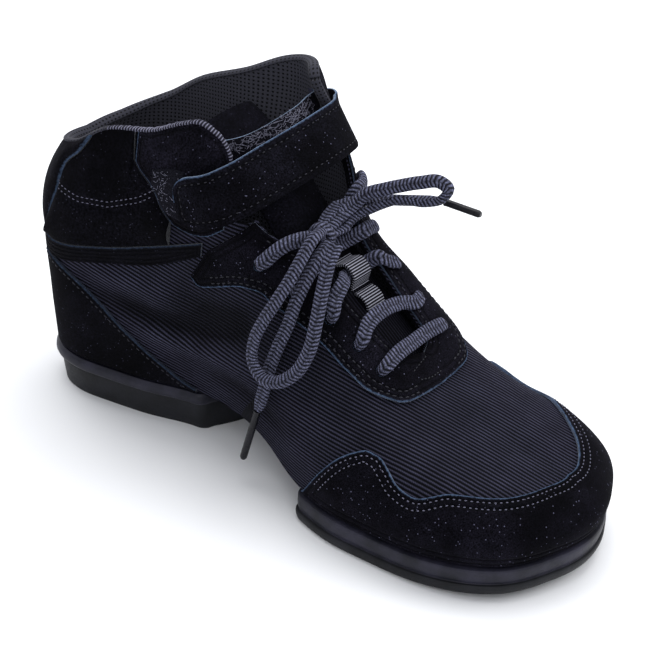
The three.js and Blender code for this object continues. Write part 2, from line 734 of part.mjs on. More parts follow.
// Heel counter, collar band, heel tab, collars and ears: edges as shares of collarHeight
const counterEdge = [
  { station: 0, up: 0.443 },
  { station: 1.5, up: 0.446 },
  { station: 2.3, up: 0.425 },
  { station: 3.18, up: 0.354 },
  { station: 3.8, up: 0.281 },
  { station: 4.38, up: 0.214 },
  { station: 4.8, up: 0.166 },
  { station: 5.06, up: 0.15 },
];
const counterFront = 5.06;
addPiece('heel_counter', layerGeometry({
  from: -counterFront,
  to: counterFront,
  low: () => lasting,
  high: (s) => upAt(s, counterEdge),
  rows: 5,
  under: flat(gap),
  over: flat(gap + suede),
}).geometry(), suedeLook);

const bandLow = [
  { station: 0, up: 0.449 },
  { station: 1.74, up: 0.452 },
  { station: 3.16, up: 0.494 },
  { station: 4.14, up: 0.533 },
  { station: 5.26, up: 0.619 },
];
const bandHigh = [
  { station: 0, up: 0.5 },
  { station: 1.6, up: 0.503 },
  { station: 3.16, up: 0.544 },
  { station: 4.12, up: 0.591 },
  { station: 5.26, up: 0.66 },
];
const bandFront = 5.25;
addPiece('collar_band', layerGeometry({
  from: -bandFront,
  to: bandFront,
  low: (s) => upAt(s, bandLow),
  high: (s) => upAt(s, bandHigh),
  rows: 2,
  under: flat(gap),
  over: flat(gap + suede),
}).geometry(), canvasLook);

const tabEdge = [
  { station: 0, up: 0.503 },
  { station: 1.45, up: 0.52 },
  { station: 1.6, up: 0.58 },
  { station: 1.88, up: 0.68 },
  { station: 2.04, up: 0.752 },
  { station: 2.5, up: 0.81 },
  { station: 2.78, up: 0.866 },
];
const earEdge = [
  { station: 3.66, up: 0.846 },
  { station: 3.82, up: 0.81 },
  { station: 4.04, up: 0.777 },
  { station: 4.24, up: 0.73 },
  { station: 4.42, up: 0.7 },
  { station: 4.64, up: 0.678 },
  { station: 4.98, up: 0.672 },
  { station: 5.32, up: 0.68 },
  { station: 5.7, up: 0.715 },
];
const seam = 0.5;
const tabSide = 2.78;
const tabFoot = 1.5;
const collarCorner = 3.66;
const earRear = 3.72;
const collarFront = 4.5;
const collarPad = 3.2;
const padOver = (s, share) => gap + suede + (collarPad - suede) * Math.sin(Math.PI * share);
addPiece('heel_tab', layerGeometry({
  from: -tabSide,
  to: tabSide,
  low: (s) => Math.max(upAt(s, bandHigh) + seam, upAt(s, tabEdge) + seam),
  high: (s) => topGirth(s) - 0.3,
  rows: 6,
  under: flat(gap),
  over: padOver,
}).geometry(), suedeLook);

const collarTop = (s) => {
  if (own(s) < tabSide + 1e-6) {
    return upAt(s, tabEdge) - seam;
  }
  return own(s) < collarCorner - 1e-6 ? topGirth(s) - 0.3 : upAt(s, earEdge) - seam;
};
const mirrored = (piece) => ({ ...piece, from: -piece.to, to: -piece.from });
const collarPiece = {
  from: tabFoot,
  to: collarFront,
  low: (s) => upAt(s, bandHigh) + seam,
  high: collarTop,
  rows: 6,
  under: flat(gap),
  over: padOver,
};
addPiece('collar_outer', layerGeometry(collarPiece).geometry(), suedeLook);
addPiece('collar_inner', layerGeometry(mirrored(collarPiece)).geometry(), suedeLook);

// Eyestay: its edges as girths, shares of instepHeight
const eyestayLow = [
  { station: 5.06, up: 0.578 },
  { station: 5.25, up: 0.553 },
  { station: 5.7, up: 0.581 },
  { station: 6.28, up: 0.622 },
  { station: 6.6, up: 0.627 },
  { station: 6.9, up: 0.6 },
  { station: 7.9, up: 0.584 },
  { station: 8.5, up: 0.548 },
  { station: 8.95, up: 0.525 },
  { station: 9.42, up: 0.542 },
  { station: 9.6, up: 0.57 },
  { station: 9.68, up: 0.615 },
  { station: 9.74, up: 0.68 },
  { station: eyestayFront, up: 0.79 },
];
const eyestayHigh = [
  { station: 5.06, up: 0.59 },
  { station: 5.25, up: 0.66 },
  { station: 5.4, up: 0.715 },
  { station: 5.7, up: 0.77 },
  { station: 6.05, up: 0.835 },
  { station: 6.28, up: 0.9 },
];
const eyestayBottom = (s) => {
  if (own(s) >= eyestayFront - 1e-6) {
    return meridian(s).reach;
  }
  return Math.min(meridian(s).reach, tableAt(eyestayLow, 'up', own(s)) * instepHeight);
};
const eyestayTop = (s) => {
  if (own(s) >= throatStation - 1e-6) {
    return meridian(s).reach;
  }
  const edge = topGirth(s) - 0.5;
  return own(s) > 6.28 + 1e-6 ? edge : Math.min(edge, tableAt(eyestayHigh, 'up', own(s)) * instepHeight);
};
function eyestayGeometry() {
  const half = (from, to) => layerGeometry({
    from,
    to,
    low: eyestayBottom,
    high: eyestayTop,
    rows: 6,
    under: (s) => (own(s) < 6.8 ? gap + 0.35 : gap + 0.05),
    over: flat(gap + suede),
  });
  const outer = half(eyestayRear, eyestayFront);
  const inner = half(ring - eyestayFront, ring - eyestayRear);
  const body = new Body();
  for (const side of [outer, inner]) {
    const numbers = side.points.map((p) => body.point(p));
    for (const face of side.faces) {
      body.face(...face.map((k) => numbers[k]));
    }
  }
  return body.geometry();
}
const eyestayMesh = addPiece('eyestay', eyestayGeometry(), suedeLook);

// Ears: the front panels of the collar; the inner one has the slot of the strap
const earFront = { outer: 5.7, inner: 6.05 };
const earPiece = {
  low: (s) => Math.max(upAt(s, earEdge) + seam, own(s) > eyestayRear - 1e-6 ? eyestayTop(s) + 2 * seam : 0),
  high: (s) => topGirth(s) - 0.4,
  rows: 6,
  under: flat(gap),
  over: flat(gap + suede),
};
addPiece('ear_outer', layerGeometry({ ...earPiece, from: earRear, to: earFront.outer }).geometry(), suedeLook);
const earInnerMesh = addPiece('ear_inner', layerGeometry({ ...earPiece, from: -earFront.inner, to: -earRear }).geometry(), suedeLook);

// Fastener patch on the outer ear, under the end of the strap
const patchThickness = 1.2;
const patchLow = [
  { station: 4.1, up: 0.79 },
  { station: 4.3, up: 0.742 },
  { station: 4.5, up: 0.715 },
  { station: 4.8, up: 0.71 },
];
const patchHigh = [
  { station: 4.1, up: 0.83 },
  { station: 4.5, up: 0.85 },
  { station: 4.8, up: 0.855 },
];
const patchOff = 2 * gap + suede;
addPiece('loop_patch', layerGeometry({
  from: 4.1,
  to: 4.8,
  low: (s) => upAt(s, patchLow),
  high: (s) => upAt(s, patchHigh),
  rows: 3,
  under: flat(patchOff),
  over: flat(patchOff + patchThickness),
}).geometry(), liningLook);

// Solid through a row of rings with the same number of points, closed at both ends
function sweptGeometry(rings) {
  const body = new Body();
  const rows = rings.map((points) => points.map((p) => body.point(p)));
  const count = rows[0].length;
  for (let i = 0; i + 1 < rows.length; i += 1) {
    for (let k = 0; k < count; k += 1) {
      const next = (k + 1) % count;
      body.quad(rows[i][k], rows[i][next], rows[i + 1][next], rows[i + 1][k]);
    }
  }
  const last = rows[rows.length - 1];
  for (let k = 1; k + 1 < count; k += 1) {
    body.face(rows[0][0], rows[0][k + 1], rows[0][k]);
    body.face(last[0], last[k], last[k + 1]);
  }
  return body.geometry();
}

// Directions of a path at each of its points
function tangents(path) {
  return path.map((p, i) => path[Math.min(path.length - 1, i + 1)].clone()
    .sub(path[Math.max(0, i - 1)]).normalize());
}

// Rings of an oval section along a path; wide is the direction of the section's width
function ovalRings(path, wide, widths, heights, sides) {
  const ways = tangents(path);
  return path.map((p, i) => {
    const across = wide[i].clone().addScaledVector(ways[i], -wide[i].dot(ways[i])).normalize();
    const up = ways[i].clone().cross(across);
    const ringPoints = [];
    for (let k = 0; k < sides; k += 1) {
      const angle = (2 * Math.PI * (k + 0.5)) / sides;
      ringPoints.push(p.clone().addScaledVector(across, (widths[i] / 2) * Math.cos(angle))
        .addScaledVector(up, (heights[i] / 2) * Math.sin(angle)));
    }
    return ringPoints;
  });
}

// Tongue: sections across its own spine, from under the vamp up to its free end between the ears
const tongueWidth = 35;
const tongueThickness = 4.6;
const tongueCentre = 2.5;
const tongueSpine = [
  { y: 184, z: 49.5, wide: 0.86, thick: 0.5 },
  { y: 176, z: 55, wide: 0.92, thick: 0.55 },
  { y: 164, z: 65.5, wide: 0.96, thick: 0.6 },
  { y: 150, z: 75.5, wide: 0.98, thick: 0.65 },
  { y: 138, z: 83.5, wide: 1, thick: 0.7 },
  { y: 128, z: 91.5, wide: 1, thick: 0.8 },
  { y: 118, z: 100, wide: 1, thick: 0.9 },
  { y: 105, z: 113, wide: 1, thick: 1 },
  { y: 93, z: 124, wide: 1, thick: 1 },
  { y: 81, z: 132, wide: 1, thick: 1 },
  { y: 70, z: 138.5, wide: 0.98, thick: 0.95 },
  { y: 67, z: 140, wide: 0.9, thick: 0.7 },
];
const tongueDrop = 0.01;
const tongueShares = [-1, -0.86, -0.5, 0, 0.5, 0.86, 1];
function tongueSection(i) {
  const before = tongueSpine[Math.max(0, i - 1)];
  const after = tongueSpine[Math.min(tongueSpine.length - 1, i + 1)];
  const normal = new THREE.Vector3(0, after.z - before.z, before.y - after.y).normalize();
  const row = tongueSpine[i];
  const half = (tongueWidth / 2) * row.wide;
  const edge = (share, depth) => {
    const c = share * half;
    const p = new THREE.Vector3(tongueCentre + c, row.y, row.z);
    return p.addScaledVector(normal, -tongueDrop * c * c - depth);
  };
  const thick = tongueThickness * row.thick;
  const thin = (share) => (Math.abs(share) > 0.9 ? 0.3 : 0);
  const above = tongueShares.map((share) => edge(share, thin(share) * thick));
  const below = [...tongueShares].reverse().map((share) => edge(share, (1 - thin(share)) * thick));
  return [...above, ...below];
}
addPiece('tongue', sweptGeometry(tongueSpine.map((row, i) => tongueSection(i))), canvasLook);

// Ankle strap: one ribbon from inside the outer ear, through the slot of the inner ear,
// round its front edge and back over the front to the fastener patch.
// lean, inwards: how far the ribbon's upper edge leans back and to the outer side, in degrees
const strapWidth = 22;
const strapThickness = 1.6;
const strapPath = [
  { x: 46, y: 75.5, z: 116, lean: 5, inwards: 0, wide: 0.62 },
  { x: 45.8, y: 78.5, z: 116.8, lean: 7, inwards: 0, wide: 0.9 },
  { x: 45.2, y: 83.5, z: 118.3, lean: 12, inwards: 0, wide: 1 },
  { x: 43, y: 91.5, z: 121.5, lean: 19, inwards: -4, wide: 1 },
  { x: 35.3, y: 98.8, z: 126.5, lean: 28, inwards: -4, wide: 1 },
  { x: 19.5, y: 104.2, z: 132.2, lean: 36, inwards: 0, wide: 1 },
  { x: 2.9, y: 107.5, z: 136.2, lean: 38, inwards: 0, wide: 1 },
  { x: -11, y: 107.9, z: 137.8, lean: 38, inwards: 0, wide: 1 },
  { x: -20, y: 106.4, z: 137.4, lean: 36, inwards: 2, wide: 1 },
  { x: -26.8, y: 104, z: 136.4, lean: 34, inwards: 5, wide: 1 },
  { x: -31, y: 100.4, z: 135.4, lean: 31, inwards: 8, wide: 1 },
  { x: -33.1, y: 96.6, z: 134.9, lean: 27, inwards: 9, wide: 1 },
  { x: -32.6, y: 93.3, z: 134.6, lean: 24, inwards: 9, wide: 1 },
  { x: -30.2, y: 91.6, z: 134.3, lean: 22, inwards: 8, wide: 1 },
  { x: -26.3, y: 91.1, z: 134.4, lean: 22, inwards: 6, wide: 1 },
  { x: -20.9, y: 92.6, z: 134.8, lean: 25, inwards: 3, wide: 1 },
  { x: -11, y: 97, z: 136.3, lean: 33, inwards: 0, wide: 1 },
  { x: 1, y: 98.8, z: 136.3, lean: 36, inwards: 0, wide: 1 },
  { x: 11, y: 96.5, z: 133.5, lean: 32, inwards: 0, wide: 1 },
  { x: 19.5, y: 92, z: 130.5, lean: 24, inwards: -2, wide: 1 },
  { x: 24.8, y: 85.5, z: 128, lean: 14, inwards: -4, wide: 1 },
  { x: 27.4, y: 78, z: 126.5, lean: 6, inwards: -5, wide: 1 },
];
const strapDirection = (row) => {
  const back = THREE.MathUtils.degToRad(row.lean);
  const side = THREE.MathUtils.degToRad(row.inwards);
  return new THREE.Vector3(Math.sin(side), -Math.sin(back), Math.cos(back) * Math.cos(side)).normalize();
};
function strapGeometry(rows) {
  const path = rows.map((row) => new THREE.Vector3(row.x, row.y, row.z));
  const wide = rows.map((row) => strapDirection(row));
  const ways = tangents(path);
  return sweptGeometry(path.map((p, i) => {
    const across = wide[i].clone().addScaledVector(ways[i], -wide[i].dot(ways[i])).normalize();
    const out = ways[i].clone().cross(across);
    const half = (strapWidth / 2) * rows[i].wide;
    const corner = (a, b) => p.clone().addScaledVector(across, a * half).addScaledVector(out, (b * strapThickness) / 2);
    return [corner(-1, -1), corner(1, -1), corner(1, 1), corner(-1, 1)];
  }));
}
addPiece('ankle_strap', strapGeometry(strapPath), suedeLook);

// Takes a solid out of a mesh that is already in the group
function cutFrom(mesh, tool) {
  mesh.geometry = geometryOf(solidOf(mesh.geometry).subtract(tool));
}

// Slot of the strap through the inner ear and the upper's wall behind it
const slotLength = 26;
const slotWidth = 6.6;
const slotDepth = 16;
const slotPlace = { x: -28.5, y: 91.5, z: 134.3, lean: 22, inwards: 7 };
const slotBox = new THREE.BoxGeometry(slotDepth, slotWidth, slotLength);
slotBox.rotateY(THREE.MathUtils.degToRad(slotPlace.inwards));
slotBox.rotateX(THREE.MathUtils.degToRad(slotPlace.lean));
slotBox.translate(slotPlace.x, slotPlace.y, slotPlace.z);
const slotSolid = solidOf(slotBox);
cutFrom(upperMesh, slotSolid);
cutFrom(earInnerMesh, slotSolid);

// Point over the last near the throat: across is the way from the centre line, above zero to the outer side
function acrossPoint(station, across, off) {
  const side = across >= 0 ? station : ring - station;
  return offPoint(side, meridian(side).reach - Math.abs(across), off);
}

// Eyelet holes, punched through eyestay and upper
const holeSize = 4.6;
const holeSides = 10;
const eyelets = [
  { station: 6.5, outer: 0.455, inner: 0.355 },
  { station: 7.18, outer: 0.32, inner: 0.215 },
  { station: 7.86, outer: 0.26, inner: 0.17 },
  { station: 8.42, outer: 0.238, inner: 0.162 },
  { station: 8.92, outer: 0.227, inner: 0.18 },
];
const holeDepth = 9;
const upAxis = new THREE.Vector3(0, 1, 0);
for (const row of eyelets) {
  for (const across of [row.outer * ballWidth, -row.inner * ballWidth]) {
    const low = acrossPoint(row.station, across, -holeDepth / 2);
    const high = acrossPoint(row.station, across, holeDepth / 2);
    const punch = new THREE.CylinderGeometry(holeSize / 2, holeSize / 2, holeDepth, holeSides);
    punch.applyQuaternion(new THREE.Quaternion().setFromUnitVectors(upAxis, high.clone().sub(low).normalize()));
    punch.translate(...low.clone().lerp(high, 0.5).toArray());
    const punchSolid = solidOf(punch);
    cutFrom(upperMesh, punchSolid);
    cutFrom(eyestayMesh, punchSolid);
  }
}

// Lace: flat oval braid; the bars run from hole to hole over the throat
const laceWidth = 6.2;
const laceHeight = 3.4;
const barOff = gap + suede + 0.7 + laceHeight / 2;
const barMiddles = [
  { pair: 1, steps: [[7.2, 0.24, 1], [7.2, 0.17, 1.02], [7.2, 0.125, 0.7], [7.2, 0.085, -0.05], [7.2, 0.035, -0.75],
    [7.2, -0.025, -0.75], [7.2, -0.065, -0.3], [7.2, -0.09, 0.5], [7.2, -0.11, 1.05], [7.19, -0.15, 1.05]] },
  { pair: 2, steps: [[7.74, 0.2, 1], [7.7, 0.165, 1.02], [7.66, 0.125, 0.7], [7.62, 0.092, 0], [7.6, 0.068, -0.6],
    [7.6, 0.005, -0.66], [7.6, -0.062, -0.62], [7.62, -0.074, 0.3], [7.66, -0.086, 1.08], [7.8, -0.12, 1.05]] },
  { pair: 3, steps: [[8.32, 0.165, 1], [8.3, 0.06, 1], [8.36, -0.04, 1], [8.46, -0.11, 1]] },
  { pair: 4, steps: [[8.9, 0.13, 1], [8.9, 0.03, 1], [8.9, -0.07, 1], [8.92, -0.125, 1]] },
];
// Way of a lace out of its hole, as [share of ballWidth towards the throat, height, width, thickness]
const mouth = [
  { inwards: 0, off: -1.6, wide: 3, high: 2.6 },
  { inwards: 0, off: 1.2, wide: 3, high: 2.6 },
  { inwards: 0.014, off: 3.7, wide: 4, high: 2.8 },
];
function barGeometry(pair, steps) {
  const row = eyelets[pair];
  const points = [];
  const widths = [];
  const heights = [];
  const addMouth = (side, list) => {
    for (const step of list) {
      const across = side > 0 ? row.outer - step.inwards : -row.inner + step.inwards;
      points.push(acrossPoint(row.station, across * ballWidth, step.off));
      widths.push(step.wide);
      heights.push(step.high);
    }
  };
  addMouth(1, mouth);
  for (const [station, across, rise] of steps) {
    points.push(acrossPoint(station, across * ballWidth, rise * barOff));
    widths.push(laceWidth);
    heights.push(laceHeight);
  }
  addMouth(-1, [...mouth].reverse());
  const ahead = acrossPoint(row.station + 0.2, 0, 0).sub(acrossPoint(row.station - 0.2, 0, 0)).normalize();
  return sweptGeometry(ovalRings(points, points.map(() => ahead), widths, heights, 8));
}
barMiddles.forEach(({ pair, steps }) => addPiece(`lace_bar_${pair + 1}`, barGeometry(pair, steps), laceLook));


// Runs of the lace from the top pair of holes to the knot
function runGeometry(side, steps, end) {
  const row = eyelets[0];
  const hole = side > 0 ? row.outer : -row.inner;
  const points = mouth.map((step) => acrossPoint(row.station, (hole - side * step.inwards) * ballWidth, step.off));
  const widths = mouth.map((step) => step.wide);
  const heights = mouth.map((step) => step.high);
  for (const [station, across, rise] of steps) {
    points.push(acrossPoint(station, across * ballWidth, rise * barOff));
    widths.push(laceWidth);
    heights.push(laceHeight);
  }
  points.push(new THREE.Vector3(...end));
  widths.push(laceWidth * 0.8);
  heights.push(laceHeight);
  const ahead = acrossPoint(row.station + 0.2, 0, 0).sub(acrossPoint(row.station - 0.2, 0, 0)).normalize();
  return sweptGeometry(ovalRings(points, points.map(() => ahead), widths, heights, 8));
}
const outerRun = [[6.56, 0.4, 1], [6.64, 0.33, 1.02], [6.72, 0.265, 1.05], [6.82, 0.2, 1.05]];
const innerRun = [[6.56, -0.3, 1], [6.66, -0.25, 1.02], [6.72, -0.2, 0.95]];
addPiece('lace_run_outer', runGeometry(1, outerRun, [17.2, 122.6, 107.9]), laceLook);
addPiece('lace_run_inner', runGeometry(-1, innerRun, [-11, 117.3, 105]), laceLook);

// Free parts of the lace: round cords through points chosen by hand
const cordSize = 4.4;
const agletSize = 3.2;
const cordPaths = {
  lace_knot: [[2, 120.4, 103.8], [7, 121.9, 104.5], [12, 123.2, 105.4]],
  lace_loop_near: [[14.5, 125.8, 110.7], [20.6, 127.2, 111], [29, 127.8, 104.7], [34.9, 127.3, 97.4],
    [39.9, 125.3, 89], [43.8, 122.3, 79.8], [46.4, 120.4, 71], [48.4, 121.8, 62.5], [49.6, 128, 58], [49, 135, 58.8],
    [45.7, 141.3, 64.5], [41.2, 143.9, 74], [35.6, 142.3, 85], [29.2, 139.3, 94.7], [21.7, 136.3, 104.2],
    [15.7, 134.8, 108.4]],
  lace_loop_far: [[-1.5, 122.5, 109], [-8, 124.5, 113], [-12, 127.8, 118], [-16, 133.5, 121], [-20, 138.3, 122.9],
    [-24, 145.2, 125.6], [-28, 151.8, 127], [-30.2, 155.2, 123.8], [-28.5, 153.3, 119.2], [-25, 148.5, 117.2],
    [-20, 139.1, 116.7], [-14, 130.5, 111.8], [-8, 125.3, 107.2], [-3.2, 125.2, 104.5]],
  lace_end_near: [[14.5, 130.2, 107.1], [21, 131.3, 105.3], [29.2, 131.6, 97.6], [34.8, 131, 88.5], [38, 130.3, 79],
    [41.6, 128.6, 68.5], [43.8, 127.4, 60], [45.5, 126.8, 51.5], [46, 125.9, 45], [46, 124.6, 39]],
  lace_end_far: [[-5.5, 117.5, 110.5], [-12.5, 121.8, 112], [-20, 130.5, 113.3], [-25.5, 138, 114], [-29.5, 145, 115],
    [-33, 151, 115.8]],
};
const agletPaths = {
  aglet_near: [[46, 124.5, 38.55], [46, 122.6, 30], [46, 119.4, 15], [46, 118.7, 11.7]],
  aglet_far: [[-33.3, 152.4, 115.85], [-33.6, 156, 115.9], [-34.7, 166, 115.9], [-35, 168.9, 115.9]],
};
function cordGeometry(points, sizes, sides) {
  const path = points.map((p) => new THREE.Vector3(...p));
  const ways = tangents(path);
  const wide = [];
  let across = Math.abs(ways[0].z) < 0.9 ? new THREE.Vector3(0, 0, 1) : new THREE.Vector3(1, 0, 0);
  for (const way of ways) {
    across = across.clone().addScaledVector(way, -across.dot(way)).normalize();
    wide.push(across);
  }
  return sweptGeometry(ovalRings(path, wide, sizes, sizes, sides));
}
const knotSize = 7.4;
const cordSides = 8;
for (const [name, points] of Object.entries(cordPaths)) {
  const size = name === 'lace_knot' ? knotSize : cordSize;
  addPiece(name, cordGeometry(points, points.map(() => size), cordSides), laceLook);
}
for (const [name, points] of Object.entries(agletPaths)) {
  const sizes = points.map((p, i) => (i === points.length - 1 ? 0.6 * agletSize : agletSize));
  addPiece(name, cordGeometry(points, sizes, cordSides), rubberLook);
}

// Webbing keepers on the tongue: the upper one arches over the lace
const keeperWidth = 11;
const keeperThickness = 1;
function spineAt(y) {
  const rows = tongueSpine.map((row) => ({ station: -row.y, z: row.z }));
  const z = (at) => tableAt(rows, 'z', -at);
  const way = new THREE.Vector3(0, 1, (z(y + 1) - z(y - 1)) / 2).normalize();
  return { place: new THREE.Vector3(tongueCentre - 1.5, y, z(y)), way, up: new THREE.Vector3(0, -way.z, way.y) };
}
function keeperGeometry(y, profile) {
  const { place, way, up } = spineAt(y);
  const path = profile.map(([along, rise]) => place.clone().addScaledVector(way, along).addScaledVector(up, rise));
  const ways = tangents(path);
  const across = new THREE.Vector3(1, 0, 0);
  return sweptGeometry(path.map((p, i) => {
    const out = ways[i].clone().cross(across);
    const corner = (a, b) => p.clone().addScaledVector(across, (a * keeperWidth) / 2)
      .addScaledVector(out, (b * keeperThickness) / 2);
    return [corner(-1, -1), corner(1, -1), corner(1, 1), corner(-1, 1)];
  }));
}
const keeperFoot = gap + keeperThickness / 2;
addPiece('tongue_keeper_upper', keeperGeometry(132.4, [[-7, keeperFoot], [-5.6, keeperFoot + 0.4], [-4.9, 2.6],
  [-3.4, 5.4], [3.4, 5.4], [4.9, 2.6], [5.6, keeperFoot + 0.4], [6.4, keeperFoot]]), laceLook);
addPiece('tongue_keeper_lower', keeperGeometry(142.6, [[-4.2, keeperFoot], [-3, keeperFoot + 0.9],
  [3, keeperFoot + 0.9], [4.2, keeperFoot]]), laceLook);

export default shoe;
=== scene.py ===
"""Dance sneaker, right shoe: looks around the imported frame. Lengths are mm until a mesh is made."""
import math

import bpy
import numpy as np
from mathutils import Matrix, Vector
from mathutils.kdtree import KDTree


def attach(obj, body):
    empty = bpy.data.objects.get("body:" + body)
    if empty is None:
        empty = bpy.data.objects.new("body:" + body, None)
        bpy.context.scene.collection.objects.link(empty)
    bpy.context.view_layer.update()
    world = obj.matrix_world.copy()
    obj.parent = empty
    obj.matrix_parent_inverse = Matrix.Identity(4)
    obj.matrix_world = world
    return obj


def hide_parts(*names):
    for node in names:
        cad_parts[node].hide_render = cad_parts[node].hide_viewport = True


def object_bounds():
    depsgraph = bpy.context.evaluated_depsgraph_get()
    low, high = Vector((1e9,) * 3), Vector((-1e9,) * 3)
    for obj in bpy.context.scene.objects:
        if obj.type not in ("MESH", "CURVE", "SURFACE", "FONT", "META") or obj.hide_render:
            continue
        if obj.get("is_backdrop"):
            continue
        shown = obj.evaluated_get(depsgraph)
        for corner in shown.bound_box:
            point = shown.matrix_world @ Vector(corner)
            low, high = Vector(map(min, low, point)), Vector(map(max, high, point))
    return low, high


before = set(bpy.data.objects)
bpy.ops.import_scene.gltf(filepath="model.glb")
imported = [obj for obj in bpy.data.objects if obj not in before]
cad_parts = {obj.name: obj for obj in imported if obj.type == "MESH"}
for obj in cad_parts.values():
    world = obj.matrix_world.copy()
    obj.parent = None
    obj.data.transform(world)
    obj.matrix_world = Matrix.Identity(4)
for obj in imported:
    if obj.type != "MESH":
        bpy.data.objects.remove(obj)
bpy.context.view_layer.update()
for item in bpy.context.selected_objects:
    item.select_set(False)

# Sizes of the shoe, as in the part's source
shoe_length = 258.0
ball_width = 101.5
heel_width = 64.5
collar_height = 149.0
instep_height = 107.0
toe_height = 42.0
toe_lean = 3.0
heel_centre_share = 0.132
heel_swing = 25.0
swing_start = 0.65
heel_height = 20.0
fore_thickness = 12.8
toe_spring = 5.0
arch_lift = 3.0
fore_flange = 3.0
heel_flange = 2.6
wall = 2.2
gap = 0.45
suede = 1.3
arch_start = 0.3
arch_end = 0.6
spring_start = 0.72

# Sections of the last, one row a station from the back of the heel to the toe
# Columns: at, turn, span, rise, foot, bulge, bulge_up, waist, waist_up, shoulder, shoulder_up, crown
outer_sections = [
    (0.132, -90, heel_width, collar_height, 0.477, 0.523, 0.32, 0.568, 0.585, 0.394, 0.786, 0.93),
    (0.132, -60, heel_width, collar_height, 0.47, 0.515, 0.32, 0.553, 0.586, 0.41, 0.81, 1.0),
    (0.134, -30, heel_width, collar_height, 0.462, 0.508, 0.32, 0.53, 0.6, 0.424, 0.87, 1.1),
    (0.15, -6, heel_width, collar_height, 0.455, 0.5, 0.32, 0.508, 0.61, 0.42, 0.94, 1.25),
    (0.225, 0, heel_width, collar_height, 0.447, 0.508, 0.33, 0.485, 0.614, 0.424, 0.99, 1.5),
    (0.31, 0, heel_width, collar_height, 0.39, 0.495, 0.315, 0.5, 0.557, 0.432, 1.0, 1.45),
    (0.388, 0, ball_width, instep_height, 0.275, 0.35, 0.44, 0.335, 0.74, 0.22, 1.23, 1.44),
    (0.473, 0, ball_width, instep_height, 0.345, 0.385, 0.38, 0.345, 0.64, 0.195, 0.935, 0.985),
    (0.562, 0, ball_width, instep_height, 0.445, 0.468, 0.32, 0.375, 0.545, 0.19, 0.77, 0.8),
    (0.651, 0, ball_width, instep_height, 0.51, 0.523, 0.28, 0.425, 0.465, 0.205, 0.608, 0.633),
    (0.721, 4, ball_width, toe_height, 0.515, 0.53, 0.66, 0.44, 1.025, 0.21, 1.25, 1.3),
    (0.783, 14, ball_width, toe_height, 0.51, 0.525, 0.66, 0.43, 0.94, 0.21, 1.09, 1.145),
    (0.829, 32, ball_width, toe_height, 0.46, 0.475, 0.675, 0.39, 0.9, 0.19, 1.015, 1.06),
    (0.86, 58, ball_width, toe_height, 0.345, 0.36, 0.69, 0.295, 0.875, 0.15, 0.965, 1.01),
    (0.872, 90, ball_width, toe_height, 0.3, 0.315, 0.7, 0.25, 0.875, 0.125, 0.955, 0.995),
]
# Columns: foot, bulge, bulge_up, waist, waist_up, shoulder, shoulder_up
inner_sections = [
    (0.467, 0.51, 0.32, 0.55, 0.586, 0.41, 0.81),
    (0.455, 0.497, 0.32, 0.523, 0.6, 0.432, 0.87),
    (0.44, 0.485, 0.32, 0.5, 0.614, 0.44, 0.94),
    (0.424, 0.485, 0.33, 0.477, 0.614, 0.47, 0.99),
    (0.41, 0.485, 0.315, 0.477, 0.557, 0.53, 1.05),
    (0.27, 0.33, 0.42, 0.32, 0.74, 0.235, 1.33),
    (0.295, 0.35, 0.36, 0.335, 0.63, 0.21, 0.952),
    (0.37, 0.405, 0.31, 0.362, 0.54, 0.208, 0.788),
    (0.445, 0.465, 0.27, 0.4, 0.46, 0.215, 0.62),
    (0.47, 0.49, 0.65, 0.42, 1.0, 0.21, 1.24),
    (0.475, 0.493, 0.65, 0.42, 0.93, 0.21, 1.085),
    (0.435, 0.45, 0.67, 0.375, 0.895, 0.185, 1.015),
    (0.335, 0.35, 0.69, 0.285, 0.875, 0.145, 0.965),
]
tip = len(outer_sections) - 1
ring = 2 * tip


def smooth(share):
    s = np.clip(share, 0, 1)
    return s * s * (3 - 2 * s)


def cubic(s, start, start_slope, stop, stop_slope):
    """Value at a share of the way from start to stop, with the slopes over the whole way"""
    s2, s3 = s * s, s * s * s
    return ((2 * s3 - 3 * s2 + 1) * start + (s3 - 2 * s2 + s) * start_slope
            + (3 * s2 - 2 * s3) * stop + (s3 - s2) * stop_slope)


def unit(v):
    return v / np.maximum(1e-9, np.linalg.norm(v, axis=-1, keepdims=True))


def arc_of(line):
    """Length along a line up to each of its points"""
    return np.concatenate([[0], np.cumsum(np.linalg.norm(np.diff(line, axis=0), axis=1))])


def between(table, a, b):
    """Value of a table at a row and a column that needn't be whole"""
    i = np.minimum(a.astype(int), len(table) - 2)
    j = np.minimum(b.astype(int), table.shape[1] - 2)
    a, b = (a - i)[..., None], (b - j)[..., None]
    return ((table[i, j] * (1 - a) + table[i + 1, j] * a) * (1 - b)
            + (table[i, j + 1] * (1 - a) + table[i + 1, j + 1] * a) * b)


def capped(rows):
    """Rows with the first and the last one twice, for the ends of a closed piece"""
    return np.concatenate([rows[:1], rows, rows[-1:]])


def both_faces(rows):
    """Columns of the front followed by the same ones back again"""
    return np.concatenate([rows, rows[:, ::-1]], 1)


def spring_up(y):
    share = np.maximum(0, (y / shoe_length - spring_start) / (1 - spring_start))
    return toe_spring * share ** 1.8


def foot_up(y):
    share = (y / shoe_length - arch_start) / (arch_end - arch_start)
    level = heel_height + (fore_thickness - heel_height) * smooth(share)
    return level + arch_lift * np.sin(np.pi * np.clip(share, 0, 1)) ** 2 + spring_up(y)


def swing(y):
    return heel_swing * np.maximum(0, 1 - y / (swing_start * shoe_length)) ** 2


heel_centre = heel_centre_share * shoe_length
shift = np.array([-swing(heel_centre), -heel_centre, 0.0])


